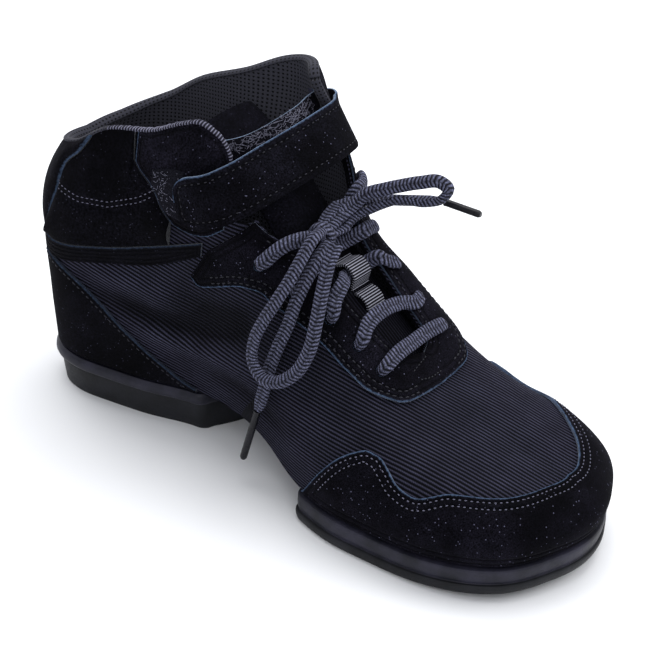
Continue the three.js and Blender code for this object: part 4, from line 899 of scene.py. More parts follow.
def braided_lace(name, low="#030306", high="#8487a6", pitch=1.6):
    # Tubular polyester braid, flattened: violet grey strands in rows of small arrows with black gaps
    material, tree, shader = new_material(name, 0.75, sheen=0.12, sheen_tint="#b9b7d6", specular=0.12)
    along, around = cloth_place(tree)
    place = object_place(tree)
    side = maths(tree, "PINGPONG", around, 0.003)
    uneven = times(tree, noise(tree, place, 1.6, 3, 0.6), 0.0012)
    row = maths(tree, "ADD", scaled(tree, side, 0.5, along), uneven)
    strand = wave(tree, row, pitch)
    middle = stretch(tree, side, 0.0024, 0.003, 1.0, 0.45)
    fibre = stretch(tree, noise(tree, place, 0.7, 4, 0.65), 0.32, 0.68)
    height = times(tree, maths(tree, "POWER", strand, 1.2), middle)
    share = times(tree, scaled(tree, fibre, 0.8, 0.12), height)
    paint(tree, shader, share, low, high)
    relief_of(tree, shader, scaled(tree, fibre, 0.2, height), 0.5)
    return material


def spacer_mesh(name, low="#1a1a1e", high="#4c4c56"):
    # Warp knitted spacer mesh of the lining: small round holes in rows, charcoal
    material, tree, shader = new_material(name, 0.9, sheen=0.08, specular=0.06)
    along, across = cloth_place(tree)
    a = wave(tree, along, 1.9)
    b = wave(tree, across, 1.9)
    holes = stretch(tree, times(tree, a, b), 0.35, 0.6, 1.0, 0.0)
    fibre = noise(tree, object_place(tree), 0.4, 3)
    share = times(tree, holes, scaled(tree, fibre, 0.6, 0.5))
    paint(tree, shader, share, low, high)
    relief_of(tree, shader, holes, 0.4)
    return material


def ribbed_webbing(name, low="#050508", high="#c3c4d4", pitch=1.1):
    # Woven polyester webbing with cross ribs
    material, tree, shader = new_material(name, 0.8, sheen=0.05, sheen_tint="#b9b7d6", specular=0.08)
    along, across = cloth_place(tree)
    rib = maths(tree, "POWER", wave(tree, along, pitch), 3.0)
    warp = wave(tree, across, 0.8)
    fibre = noise(tree, object_place(tree), 0.4, 3)
    height = times(tree, rib, scaled(tree, warp, 0.35, 0.65))
    share = times(tree, height, scaled(tree, fibre, 0.7, 0.5))
    paint(tree, shader, share, low, high)
    relief_of(tree, shader, height, 0.3)
    return material


def loop_pile(name, low="#030304", high="#2c2c38"):
    # Brushed loop pile of the fastener: a fuzz of fine hairs, a few of them pale
    material, tree, shader = new_material(name, 0.97, sheen=0.08, sheen_tint="#9a9ab0", specular=0.04)
    place = object_place(tree)
    fuzz = noise(tree, place, 0.8, 5, 0.8)
    hair = stretch(tree, noise(tree, place, 1.6, 3, 0.9), 0.55, 0.75)
    share = scaled(tree, hair, 0.6, times(tree, fuzz, 0.4))
    paint(tree, shader, share, low, high)
    relief_of(tree, shader, fuzz, 0.8)
    return material


def sewing_thread(name, low="#22222c", high="#7d7c93"):
    # Bonded polyester thread: small dull dots where it shows
    material, tree, shader = new_material(name, 0.7, sheen=0.1, specular=0.2)
    twist = noise(tree, object_place(tree), 0.3, 2)
    paint(tree, shader, twist, low, high)
    return material


canvas = ribbed_canvas("ribbed_canvas")
tongue_canvas = ribbed_canvas("ribbed_canvas_tongue", high="#2a2a38", pitch=1.5)
cap_suede = brushed_suede("suede_cap", rows=(2.0, 4.6))
stay_suede = brushed_suede("suede_eyestay", rows=(1.8, 4.4))
counter_suede = brushed_suede("suede_counter", low="#030304", high="#201f2a", nap=0.8, depth=0.15, specks=0.3,
                              rim=0.3)
band_suede = brushed_suede("suede_band", low="#060608", high="#272633", nap=0.8, depth=0.25, specks=0.2,
                           rows=(1.3, 2.9), rim=0.3)
collar_nubuck = brushed_suede("nubuck_collar", low="#020203", high="#1b1a24", nap=1.1, depth=0.12, specks=0.2,
                              rim=0.0)
tab_nubuck = brushed_suede("nubuck_tab", low="#040405", high="#24232f", nap=1.1, depth=0.12, specks=0.2,
                           rim=0.7)
ear_suede = brushed_suede("suede_ear", rows=(2.2,), nap=0.8, rim=0.7)
tongue_nubuck = brushed_suede("nubuck_tongue", low="#040406", high="#1f1e2a", nap=0.9, depth=0.12, specks=0.2,
                              rim=0.0)
strap_suede = brushed_suede("suede_strap", rows=(3.0,), low="#020203", high="#302f3e", nap=0.75)
pale_edge = cut_edge("cut_edge")
faded_edge = cut_edge("cut_edge_faded", low="#0d0f14", high="#38435a")
strap_rim = cut_edge("cut_edge_strap", low="#3a4658", high="#8ea8cc")
dark_edge = cut_edge("cut_edge_dark", low="#15151a", high="#3d4048")
mesh_lining = spacer_mesh("spacer_mesh")
mesh_roll = spacer_mesh("spacer_mesh_edge", low="#17171b", high="#3c3c45")
sole_rubber = moulded_rubber("moulded_rubber")
band_rubber = moulded_rubber("satin_rubber_band", low="#12131a", high="#302f3d", roughness=0.45)
lace_braid = braided_lace("lace_braid")
webbing = ribbed_webbing("ribbed_webbing")
webbing_dark = ribbed_webbing("stretch_webbing", low="#020203", high="#15151c", pitch=1.0)
tape = ribbed_webbing("edge_tape", low="#15151d", high="#9493aa", pitch=1.3)
pile = loop_pile("loop_pile")
thread = sewing_thread("sewing_thread")
dark_thread = sewing_thread("sewing_thread_dark", low="#0c0c11", high="#2a2a35")
fibre = sewing_thread("loose_fibre", low="#20202a", high="#9d9db4")
aglet_film = moulded_rubber("aglet_film", low="#0c0c10", high="#1c1c24", roughness=0.25, grain=2)


# Pieces on the last
far_from_edge = 20.0
lasting = 1.2
seam = 0.5
over_suede = gap + suede


def level(off):
    return lambda station, share, border: off + 0 * share


def padding(station, share, border):
    return over_suede + 1.9 * np.sin(np.pi * share)


def slab_faces(rows, across, ends=True):
    """Two sheets of a grid, one over the other, closed along the sides and, if wished, at the ends"""
    count = rows * across
    i, j = np.arange(rows - 1) * across, np.arange(across - 1)
    side, end = across - 1, (rows - 1) * across
    strips = [
        np.stack([i, i + across, count + i + across, count + i], 1),
        np.stack([i + side, count + i + side, count + i + across + side, i + across + side], 1),
    ]
    if ends:
        strips += [np.stack([j, count + j, count + j + 1, j + 1], 1),
                   np.stack([end + j, end + j + 1, count + end + j + 1, count + end + j], 1)]
    return np.concatenate([grid_faces(rows, across), grid_faces(rows, across, first=count, turned=True),
                           *strips])


def upper_piece():
    part = panel("upper_shell", 0, ring, lambda s: 0 * s, top_girth, level(-wall), level(0),
                 [canvas, mesh_lining, collar_nubuck], step=1.6, joined=at_front, loop=True)
    rows, across = 60, 16
    stations = np.linspace(seat_front, forefoot_rear, rows)
    shares = np.linspace(0, 1, across)
    a = look_up(last, stations, 0)
    b = look_up(last, ring - stations, 0)
    low = a[:, None] + (b - a)[:, None] * shares[:, None]
    high = low + np.array([0, 0, wall])
    points = np.concatenate([low.reshape(-1, 3), high.reshape(-1, 3)])
    faces = slab_faces(rows, across)
    far = np.full(len(points), far_from_edge)
    slab = {
        "points": points, "faces": faces, "uv": points[:, 1::-1][:, :2], "slots": np.zeros(len(faces), int),
        "border": far, "raw": far, "fold": np.zeros(len(points)),
    }
    return finish_panel([part, slab], "upper")


upper = upper_piece()

under_suede, over_last = level(gap - 0.1), level(over_suede)
finish_panel([panel(
    "toe_cap_suede", cap_rear, ring - cap_rear, lambda s: lasting + 0 * s,
    lambda s: np.maximum(lasting + 0.6, cap_share(s) * reach_at(s)), under_suede, over_last,
    [cap_suede, dark_edge, pale_edge])], "toe_cap")

counter_top = up_line(counter_rows)
band_low, band_high = up_line(band_low_rows), up_line(band_high_rows)
finish_panel([panel(
    "heel_counter_suede", -counter_front, counter_front, lambda s: lasting + 0 * s, counter_top,
    under_suede, over_last, [counter_suede, dark_edge, faded_edge])], "heel_counter")
finish_panel([panel(
    "collar_band_suede", -band_front, band_front, band_low, band_high, under_suede, over_last,
    [band_suede, dark_edge, faded_edge], step=1.2)], "collar_band")

tab_edge, ear_edge = up_line(tab_rows), up_line(ear_rows)
heel_tab = finish_panel([panel(
    "heel_tab_pad", -tab_side, tab_side, lambda s: np.maximum(band_high(s), tab_edge(s)) + seam,
    lambda s: top_girth(s) - 0.3, under_suede, padding, [tab_nubuck, dark_edge, dark_edge], pale="low")],
    "heel_tab")


def collar_top(station):
    line = np.where(own(station) < collar_corner - edge_slack, top_girth(station) - 0.3,
                    ear_edge(station) - seam)
    return np.where(own(station) < tab_side + edge_slack, tab_edge(station) - seam, line)


collar_looks = [collar_nubuck, dark_edge, dark_edge]
collar_outer = finish_panel([panel(
    "collar_outer_pad", tab_foot, collar_front, lambda s: band_high(s) + seam, collar_top,
    under_suede, padding, collar_looks, step=1.2)], "collar_outer")
collar_inner = finish_panel([panel(
    "collar_inner_pad", -collar_front, -tab_foot, lambda s: band_high(s) + seam, collar_top,
    under_suede, padding, collar_looks, step=1.2)], "collar_inner")

stay_lift_end = 6.8
stay_low, stay_high = table_line(stay_low_rows), table_line(stay_high_rows)


def stay_bottom(station):
    line = np.minimum(reach_at(station), stay_low(own(station)) * instep_height)
    return np.where(own(station) >= eyestay_front - edge_slack, reach_at(station), line)


def stay_top(station):
    edge = top_girth(station) - 0.5
    short = np.minimum(edge, stay_high(own(station)) * instep_height)
    line = np.where(own(station) > collar_end + edge_slack, edge, short)
    return np.where(at_front(station), reach_at(station), line)


def stay_under(station, share, border):
    """The rear of the eyestay lies 0.3 mm further out than the rest"""
    return np.where(own(station) < stay_lift_end, gap + 0.35, gap + 0.05) + 0 * share


eyestay = finish_panel([
    panel("eyestay_suede", eyestay_rear, eyestay_front, stay_bottom, stay_top, stay_under, over_last,
          [stay_suede, dark_edge, pale_edge], step=1.3, joined=at_front, mirror=mirror, pale="low")
    for mirror in (False, True)], "eyestay")


def ear_low(station):
    over = np.where(own(station) > eyestay_rear - edge_slack, stay_top(station) + 2 * seam, 0)
    return np.maximum(ear_edge(station) + seam, over)


def soft_ear(station, share, border):
    return over_suede + 1.1 * (1 - np.exp(-border / 4.0)) * (share > 0)


ear_looks = [ear_suede, dark_edge, pale_edge]
finish_panel([panel(
    "ear_outer_suede", ear_rear, ear_front_outer, ear_low, lambda s: top_girth(s) - 0.4,
    under_suede, soft_ear, ear_looks, step=1.2, pale="low start")], "ear_outer")
ear_inner = finish_panel([panel(
    "ear_inner_suede", -ear_front_inner, -ear_rear, ear_low, lambda s: top_girth(s) - 0.4,
    under_suede, soft_ear, ear_looks, step=1.2, pale="low stop")], "ear_inner")
patch_low, patch_high = up_line(patch_low_rows), up_line(patch_high_rows)
patch_off = 2 * gap + suede
finish_panel([panel(
    "loop_patch_pile", patch_rear, patch_front, patch_low, patch_high,
    level(patch_off - 0.3), level(patch_off + 1.2), [pile, pile, pile], step=1.2)],
    "loop_patch")


# Soles
def sole_edge(stations, out):
    here = look_up(last, stations, 0)
    along = look_up(last, stations + 0.05, 0) - look_up(last, stations - 0.05, 0)
    size = np.hypot(along[:, 0], along[:, 1])
    return np.stack([here[:, 0] + along[:, 1] * out / size, here[:, 1] - along[:, 0] * out / size,
                     0 * size], 1)


inside = -(wall + gap)
corner_round = 5.0
end_bulge = 6
end_gap = 0.7


def sole_piece(name, replaces, stations, forward, levels, looks):
    """Rings from the tread up; levels are out, rise over the tread, share of the foot line's height, slot"""
    end_count = 14
    rings = []
    for out, rise, share, slot in levels:
        outer = sole_edge(stations, out)
        inner = sole_edge(ring - stations if forward > 0 else -stations, out)
        back = end_gap if out == inside else 0
        bulge = 0 if out == inside else end_bulge
        if out != inside:
            for line in (outer, inner):
                away = 1 - np.clip(arc_of(line) / corner_round, 0, 1)
                tuck = corner_round * (1 - np.sqrt(np.clip(1 - away ** 2, 0, 1)))
                line[:, 0] -= np.sign(line[0, 0] - (outer[0, 0] + inner[0, 0]) / 2) * tuck
        outer[0, 1] += forward * back
        inner[0, 1] += forward * back
        k = np.linspace(0, 1, end_count + 1)[:, None]
        end = inner[0] + (outer[0] - inner[0]) * k
        end[:, 1] -= forward * bulge * np.sin(np.pi * k[:, 0])
        loop = np.concatenate([outer, inner[:-1][::-1], end[1:-1]])
        for line in (outer, inner, end, loop):
            y = line[:, 1]
            base = spring_up(y) if forward > 0 else 0 * y
            line[:, 2] = base + rise + share * (foot_up(y) - base)
        rings.append((loop, outer, inner, end))
    count = len(rings[0][0])
    points = [np.concatenate([r[0] for r in rings])]
    faces = [grid_faces(len(rings), count, closed=True)]
    slots = [np.repeat([row[3] for row in levels[1:]], count)]
    first = len(points[0])
    for (loop, outer, inner, end), turned, slot in ((rings[0], True, 2), (rings[-1], False, 0)):
        across = end_count + 1
        k = np.linspace(0, 1, across)[:, None, None]
        sheet = inner[None] + (outer - inner)[None] * k
        sheet = np.concatenate([end[:, None], sheet], 1)
        y = sheet[..., 1]
        points.append(sheet.reshape(-1, 3))
        facing = not turned if forward > 0 else turned
        faces.append(grid_faces(across, len(stations) + 1, first=first, turned=facing))
        slots.append(np.full(len(faces[-1]), slot))
        first += across * (len(stations) + 1)
    points = np.concatenate(points)
    piece = make_mesh(name, points, np.concatenate(faces), looks, uv=points[:, 1::-1][:, :2],
                      slots=np.concatenate(slots), angle=32)
    bpy.context.view_layer.objects.active = piece
    piece.select_set(True)
    bpy.ops.object.mode_set(mode="EDIT")
    bpy.ops.mesh.select_all(action="SELECT")
    bpy.ops.mesh.normals_make_consistent(inside=False)
    bpy.ops.object.mode_set(mode="OBJECT")
    piece.select_set(False)
    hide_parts(replaces)


# Columns: way out from the flange, rise over the tread, share of the foot line's height, slot
fore_levels = [(fore_flange + out, *row) for out, *row in [
    (-2.6, 0, 0, 1), (-1.5, 0.12, 0, 1), (-0.6, 0.6, 0, 1), (-0.15, 1.5, 0, 1), (0.25, 2.6, 0, 1),
    (0.45, 3.6, 0, 1), (0.4, 4.5, 0, 1), (0.05, 4.95, 0, 1), (-0.7, 5.15, 0, 1), (-0.95, 5.5, 0, 0),
    (-0.7, 5.95, 0, 0), (-0.4, 6.7, 0, 0), (-0.2, 7.8, 0, 0), (-0.05, 9.2, 0, 0), (0, -gap - 1.3, 1, 0),
    (-0.1, -gap - 0.8, 1, 0), (-0.4, -gap - 0.25, 1, 0), (-0.9, -gap, 1, 0),
]] + [(inside, -gap, 1, 0), (inside, wall, 1, 0)]
heel_levels = [(heel_flange + out, *row) for out, *row in [
    (-5.6, 0, 0, 1), (-5.0, 0.15, 0, 1), (-4.6, 0.8, 0, 1), (-4.0, 4, 0, 1), (-3.3, 8, 0, 1),
    (-2.7, 11.5, 0, 1), (-2.7, 13.2, 0, 1), (-2.9, 13.8, 0, 1), (-2.5, 14.1, 0, 0), (-1.2, 14.3, 0, 0),
    (-0.4, 14.9, 0, 0), (0, 15.8, 0, 0), (0, 17.0, 0, 0), (-0.3, 18.0, 0, 0), (-0.8, 18.8, 0, 0),
    (-1.5, -gap, 1, 0),
]] + [(inside, -gap, 1, 0), (inside, wall, 1, 0)]
sole_piece("outsole_forefoot_rubber", "outsole_forefoot", np.linspace(forefoot_rear, tip, 150), 1,
           fore_levels, [band_rubber, sole_rubber, sole_rubber])
sole_piece("outsole_heel_rubber", "outsole_heel", np.linspace(0, seat_front, 150)[::-1], -1,
           heel_levels, [band_rubber, sole_rubber, sole_rubber])


def insole_piece():
    rows, across, thickness, soft_edge = 140, 25, 3.0, 1.5
    stations = np.linspace(0, tip, rows)
    out = -(wall + 2 * gap)
    a, b = sole_edge(stations, out), sole_edge(ring - stations, out)
    shares = np.linspace(0, 1, across)[None, :, None]
    low = a[:, None] + (b - a)[:, None] * shares
    low[..., 2] = foot_up(low[..., 1]) + wall + gap
    high = low + np.array([0, 0, thickness])
    edge = np.minimum(shares[..., 0], 1 - shares[..., 0]) * np.linalg.norm(b - a, axis=1)[:, None]
    high[..., 2] -= 0.8 * np.clip(1 - edge / soft_edge, 0, 1) ** 2
    points = np.concatenate([low.reshape(-1, 3), high.reshape(-1, 3)])
    piece = make_mesh("insole_foam", points, slab_faces(rows, across, ends=False), [mesh_lining],
                      uv=points[:, 1::-1][:, :2])
    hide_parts("insole")


insole_piece()


# Swept pieces: tongue, strap, laces
def smooth_rows(rows, step):
    """Rows about one step apart on a smooth line through the given ones; a row starts with a point"""
    rows = np.array(rows, float)
    chord = np.linalg.norm(np.diff(rows[:, :3], axis=0), axis=1)
    times = np.concatenate([[0], np.cumsum(chord)])
    rises = np.diff(rows, axis=0) / chord[:, None]
    slopes = np.concatenate([rises[:1], rises[:1], rises[1:]])[:len(rows)].copy()
    slopes[-1] = rises[-1]
    before, after = chord[:-1, None], chord[1:, None]
    slopes[1:-1] = (rises[:-1] * after + rises[1:] * before) / (before + after)
    time = np.linspace(0, times[-1], max(3, int(times[-1] / step)) + 1)
    i = np.clip(np.searchsorted(times, time, side="right") - 1, 0, len(chord) - 1)
    span = chord[i][:, None]
    s = ((time - times[i]) / chord[i])[:, None]
    return cubic(s, rows[i], span * slopes[i], rows[i + 1], span * slopes[i + 1])


def frames(path, wide):
    """Directions along, across and up at each point of a path"""
    way = unit(np.gradient(path, axis=0))
    wide = np.broadcast_to(wide, path.shape)
    across = unit(wide - way * np.sum(wide * way, axis=1, keepdims=True))
    return way, across, np.cross(way, across)


def carried(path, first):
    """Width direction carried along a path without twist"""
    way = unit(np.gradient(path, axis=0))
    across = np.array(first, float)
    found = []
    for step in way:
        across = across - step * across.dot(step)
        across = across / np.linalg.norm(across)
        found.append(across)
    return np.array(found)


def tube(path, wide, widths, heights, sides=14):
    """Points, faces and cloth map of an oval tube closed at both ends"""
    _, across, up = frames(path, wide)
    angle = np.linspace(0, 2 * np.pi, sides + 1)
    widths = np.broadcast_to(widths, len(path)).astype(float).copy()
    heights = np.broadcast_to(heights, len(path)).astype(float).copy()
    ring_points = (path[:, None] + across[:, None] * (widths[:, None] / 2 * np.cos(angle))[..., None]
                   + up[:, None] * (heights[:, None] / 2 * np.sin(angle))[..., None])
    arc = arc_of(path)
    around = angle / (2 * np.pi) * 2.6 * (widths.mean() + heights.mean()) / 2
    uv = np.stack(np.broadcast_arrays(arc[:, None], around[None, :]), 2)
    first = np.concatenate([ring_points[:1] * 0 + path[0], ring_points, ring_points[:1] * 0 + path[-1]])
    uv = capped(uv)
    return {"points": first.reshape(-1, 3), "faces": grid_faces(len(first), sides + 1, turned=True),
            "uv": uv.reshape(-1, 2)}


def tube_piece(name, parts, looks, replaces):
    piece = make_mesh(name, together(parts, "points"), numbered(parts), looks, uv=together(parts, "uv"),
                      angle=60)
    if replaces:
        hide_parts(*replaces)
    return piece


tongue_width = 35.0
tongue_thickness = 4.6
tongue_centre = 2.5
nubuck_from = 126
# Columns: y, z, share of width, share of thickness
tongue_rows = [
    (184, 49.5, 0.86, 0.5), (176, 55, 0.92, 0.55), (164, 65.5, 0.96, 0.6), (150, 75.5, 0.98, 0.65),
    (138, 83.5, 1, 0.7), (128, 91.5, 1, 0.8), (118, 100, 1, 0.9), (105, 113, 1, 1), (93, 124, 1, 1),
    (81, 132, 1, 1), (70, 138.5, 0.98, 0.95), (67, 140, 0.9, 0.7),
]


def tongue_piece():
    rows = smooth_rows([(0, y, z, w, t) for y, z, w, t in tongue_rows], 1.5)
    way = unit(np.gradient(rows[:, :3], axis=0))
    normal = np.stack([0 * way[:, 0], -way[:, 2], way[:, 1]], 1)
    normal *= np.sign(normal[:, 2:3] + 1e-9)
    count = 25
    shares = np.sin(np.linspace(-np.pi / 2, np.pi / 2, count))
    across = shares[None] * (tongue_width / 2) * rows[:, 3:4]
    thick = tongue_thickness * rows[:, 4:5]
    thin = 0.42 * np.abs(shares[None]) ** 6
    base = np.stack(np.broadcast_arrays(tongue_centre + across, rows[:, 1:2], rows[:, 2:3]), 2)
    bow = 0.01 * across ** 2
    above = base - normal[:, None] * (bow + thin * thick)[..., None]
    below = base - normal[:, None] * (bow + (1 - thin) * thick)[..., None]
    loop = np.concatenate([above, below[:, ::-1]], 1)
    foot, top_end = [loop[:1] * 0 + (above[k, count // 2] + below[k, count // 2]) / 2 for k in (0, -1)]
    points = np.concatenate([foot, loop, top_end])
    arc = capped(arc_of(rows[:, :3]))
    side = capped(both_faces(across))
    uv = np.stack(np.broadcast_arrays(arc[:, None], side), 2).reshape(-1, 2)
    piece = make_mesh("tongue_pad", points.reshape(-1, 3),
                      grid_faces(len(points), 2 * count, closed=True), [tongue_canvas, tongue_nubuck], uv=uv,
                      slots=np.repeat(points[:-1, 0, 1] < nubuck_from, 2 * count).astype(int),
                      values={key: np.full(points.shape[:2], far_from_edge) for key in ("border", "raw")},
                      angle=50)
    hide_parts("tongue")


tongue_piece()

strap_width = 22.0
strap_thickness = 1.6
# Columns: x, y, z, lean and inwards in degrees
strap_rows = [
    (46, 75.5, 116, 5, 0), (45.8, 78.5, 116.8, 7, 0), (45.2, 83.5, 118.3, 12, 0), (43, 91.5, 121.5, 19, -4),
    (35.3, 98.8, 126.5, 28, -4), (19.5, 104.2, 132.2, 36, 0), (2.9, 107.5, 136.2, 38, 0),
    (-11, 107.9, 137.8, 38, 0), (-20, 106.4, 137.4, 36, 2), (-26.8, 104, 136.4, 34, 5),
    (-31, 100.4, 135.4, 31, 8), (-33.1, 96.6, 134.9, 27, 9), (-32.6, 93.3, 134.6, 24, 9),
    (-30.2, 91.6, 134.3, 22, 8), (-26.3, 91.1, 134.4, 22, 6), (-20.9, 92.6, 134.8, 25, 3),
    (-11, 97, 136.3, 33, 0), (1, 98.8, 136.3, 36, 0), (11, 96.5, 133.5, 32, 0), (19.5, 92, 130.5, 24, -2),
    (24.8, 85.5, 128, 14, -4), (27.4, 78, 126.5, 6, -5),
]


def strap_half(arc):
    """Half width of the strap, rounded at its free end"""
    share = np.sqrt(np.clip(1 - (1 - np.clip(arc / 9.5, 0, 1)) ** 2, 0, 1))
    return strap_width / 2 * (0.25 + 0.75 * share)


def strap_frame():
    """Middle line of the strap from its free end, its ways along, across and up, and the length so far"""
    rows = smooth_rows(strap_rows, 0.9)
    back, side = np.radians(rows[:, 3]), np.radians(rows[:, 4])
    wide = unit(np.stack([np.sin(side), -np.sin(back), np.cos(back) * np.cos(side)], 1))
    return rows[:, :3], *frames(rows[:, :3], wide), arc_of(rows[:, :3])


def strap_piece():
    spine, _, across, up, arc = strap_frame()
    half = strap_half(arc)
    shares = np.concatenate([[-1, -0.985, -0.95], np.linspace(-0.9, 0.9, 15), [0.95, 0.985, 1]])
    away = half[:, None] * shares
    border = np.minimum(half[:, None] - np.abs(away), arc[:, None])
    thick = strap_thickness / 2 * (1 - 0.35 * np.clip(1 - border / 0.5, 0, 1) ** 2)
    base = spine[:, None] + across[:, None] * away[..., None]
    front = base + up[:, None] * thick[..., None]
    rear = base - up[:, None] * thick[..., None]
    points = capped(np.concatenate([front, rear[:, ::-1]], 1))
    sides = both_faces(away)
    for end in (0, -1):
        points[end] = spine[end] + across[end] * sides[end][:, None]
    n, k = points.shape[1], len(shares)
    column = np.tile(np.arange(n), len(points) - 1)
    slots = np.where(column < k - 1, 0, np.where(column == k - 1, 2, np.where(column < 2 * k - 1, 1, 2)))
    raw = np.minimum(half[:, None] - away, np.where(away > 0, arc[:, None], 9))
    uv = np.stack(np.broadcast_arrays(capped(arc)[:, None], capped(sides)), 2).reshape(-1, 2)
    piece = make_mesh("ankle_strap_suede", points.reshape(-1, 3), grid_faces(len(points), n, closed=True),
                      [strap_suede, pile, strap_rim], uv=uv, slots=slots,
                      values={"border": capped(both_faces(border)), "raw": capped(both_faces(raw))}, angle=50)
    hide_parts("ankle_strap")


strap_piece()


def across_point(station, across, off):
    """Point near the throat: across is the way from the centre line, above zero to the outer side"""
    station, across = np.asarray(station, float), np.asarray(across, float)
    side = np.where(across >= 0, station, ring - station)
    return surface(side, reach_at(side) - np.abs(across), off)


# Eyelets: station, way from the centre line on the outer and the inner side, shares of the ball's width
eyelet_rows = [(6.5, 0.455, 0.355), (7.18, 0.32, 0.215), (7.86, 0.26, 0.17), (8.42, 0.238, 0.162),
               (8.92, 0.227, 0.18)]
lace_width = 6.2
lace_height = 3.4
bar_off = gap + suede + 0.7 + lace_height / 2
# Columns: station, share of the ball's width across, share of the height over the eyestay
bar_rows = {
    1: [(7.2, 0.24, 1), (7.2, 0.17, 1.02), (7.2, 0.125, 0.7), (7.2, 0.085, -0.05), (7.2, 0.035, -0.75),
        (7.2, -0.025, -0.75), (7.2, -0.065, -0.3), (7.2, -0.09, 0.5), (7.2, -0.11, 1.05),
        (7.19, -0.15, 1.05)],
    2: [(7.74, 0.2, 1), (7.7, 0.165, 1.02), (7.66, 0.125, 0.7), (7.62, 0.092, 0), (7.6, 0.068, -0.6),
        (7.6, 0.005, -0.66), (7.6, -0.062, -0.62), (7.62, -0.074, 0.3), (7.66, -0.086, 1.08),
        (7.8, -0.12, 1.05)],
    3: [(8.32, 0.165, 1), (8.3, 0.06, 1), (8.36, -0.04, 1), (8.46, -0.11, 1)],
    4: [(8.9, 0.15, 1), (8.9, 0.03, 0.9), (8.9, -0.07, 0.95), (8.92, -0.135, 1)],
}
# Way of the lace out of a hole: share inwards, height, width, thickness
mouth_rows = [(0, -1.6, 4.2, 2.8), (0, 1.0, 4.5, 2.8), (0.012, 3.5, 5.4, 3)]


def mouth_points(pair, side):
    station, outer_share, inner_share = eyelet_rows[pair]
    rows = []
    for inwards, off, wide, high in mouth_rows:
        share = outer_share - inwards if side > 0 else -inner_share + inwards
        rows.append([*across_point(station, share * ball_width, off), wide, high])
    return rows


def lace_ahead(pair):
    station = eyelet_rows[pair][0]
    return unit(across_point(station + 0.2, 0, 0) - across_point(station - 0.2, 0, 0))


def lace_step(station, share, rise):
    return [*across_point(station, share * ball_width, rise * bar_off), lace_width, lace_height]


def lace_tube(rows, wide, step=1.0):
    rows = smooth_rows(rows, step)
    return tube(rows[:, :3], wide, rows[:, 3], rows[:, 4], sides=16)


def lace_pieces():
    for pair, steps in bar_rows.items():
        rows = mouth_points(pair, 1) + [lace_step(*row) for row in steps] + mouth_points(pair, -1)[::-1]
        name = f"lace_bar_{pair + 1}"
        tube_piece(name + "_braid", [lace_tube(rows, lace_ahead(pair))], [lace_braid], [name])
    outer_run = [(6.56, 0.4, 1), (6.64, 0.33, 1.02), (6.72, 0.265, 1.05), (6.82, 0.2, 1.05)]
    inner_run = [(6.56, -0.3, 1), (6.66, -0.25, 1.02), (6.72, -0.2, 0.95)]
    for name, side, steps, end in (("lace_run_outer", 1, outer_run, (17.2, 122.6, 107.9)),
                                   ("lace_run_inner", -1, inner_run, (-11, 117.3, 105))):
        rows = mouth_points(0, side) + [lace_step(*row) for row in steps]
        rows.append([*end, 0.8 * lace_width, lace_height])
        tube_piece(name + "_braid", [lace_tube(rows, lace_ahead(0))], [lace_braid], [name])


lace_pieces()

# Free parts of the lace, the same points as in the part's source
cord_paths = {
    "lace_loop_near": [
        (14.5, 125.8, 110.7), (20.6, 127.2, 111), (29, 127.8, 104.7), (34.9, 127.3, 97.4), (39.9, 125.3, 89),
        (43.8, 122.3, 79.8), (46.4, 120.4, 71), (48.4, 121.8, 62.5), (49.6, 128, 58), (49, 135, 58.8),
        (45.7, 141.3, 64.5), (41.2, 143.9, 74), (35.6, 142.3, 85), (29.2, 139.3, 94.7), (21.7, 136.3, 104.2),
        (15.7, 134.8, 108.4)],
    "lace_loop_far": [
        (-1.5, 122.5, 109), (-8, 124.5, 113), (-12, 127.8, 118), (-16, 133.5, 121), (-20, 138.3, 122.9),
        (-24, 145.2, 125.6), (-28, 151.8, 127), (-30.2, 155.2, 123.8), (-28.5, 153.3, 119.2),
        (-25, 148.5, 117.2), (-20, 139.1, 116.7), (-14, 130.5, 111.8), (-8, 125.3, 107.2),
        (-3.2, 125.2, 104.5)],
    "lace_end_near": [
        (14.5, 130.2, 107.1), (21, 131.3, 105.3), (29.2, 131.6, 97.6), (34.8, 131, 88.5), (38, 130.3, 79),
        (41.6, 128.6, 68.5), (43.8, 127.4, 60), (45.5, 126.8, 51.5), (46, 125.9, 45), (46, 124.6, 39)],
    "lace_end_far": [
        (-5.5, 117.5, 110.5), (-12.5, 121.8, 112), (-20, 130.5, 113.3), (-25.5, 138, 114), (-29.5, 145, 115),
        (-33, 151, 115.8)],
}
aglet_paths = {
    "aglet_near": [(46, 124.5, 38.55), (46, 122.6, 30), (46, 119.4, 15), (46, 118.7, 11.7)],
    "aglet_far": [(-33.3, 152.4, 115.85), (-33.6, 156, 115.9), (-34.7, 166, 115.9), (-35, 168.9, 115.9)],
}
cord_width = 5.6
cord_height = 3.4
camera_side = np.array([-0.6085, 0.7896, 0.0787])


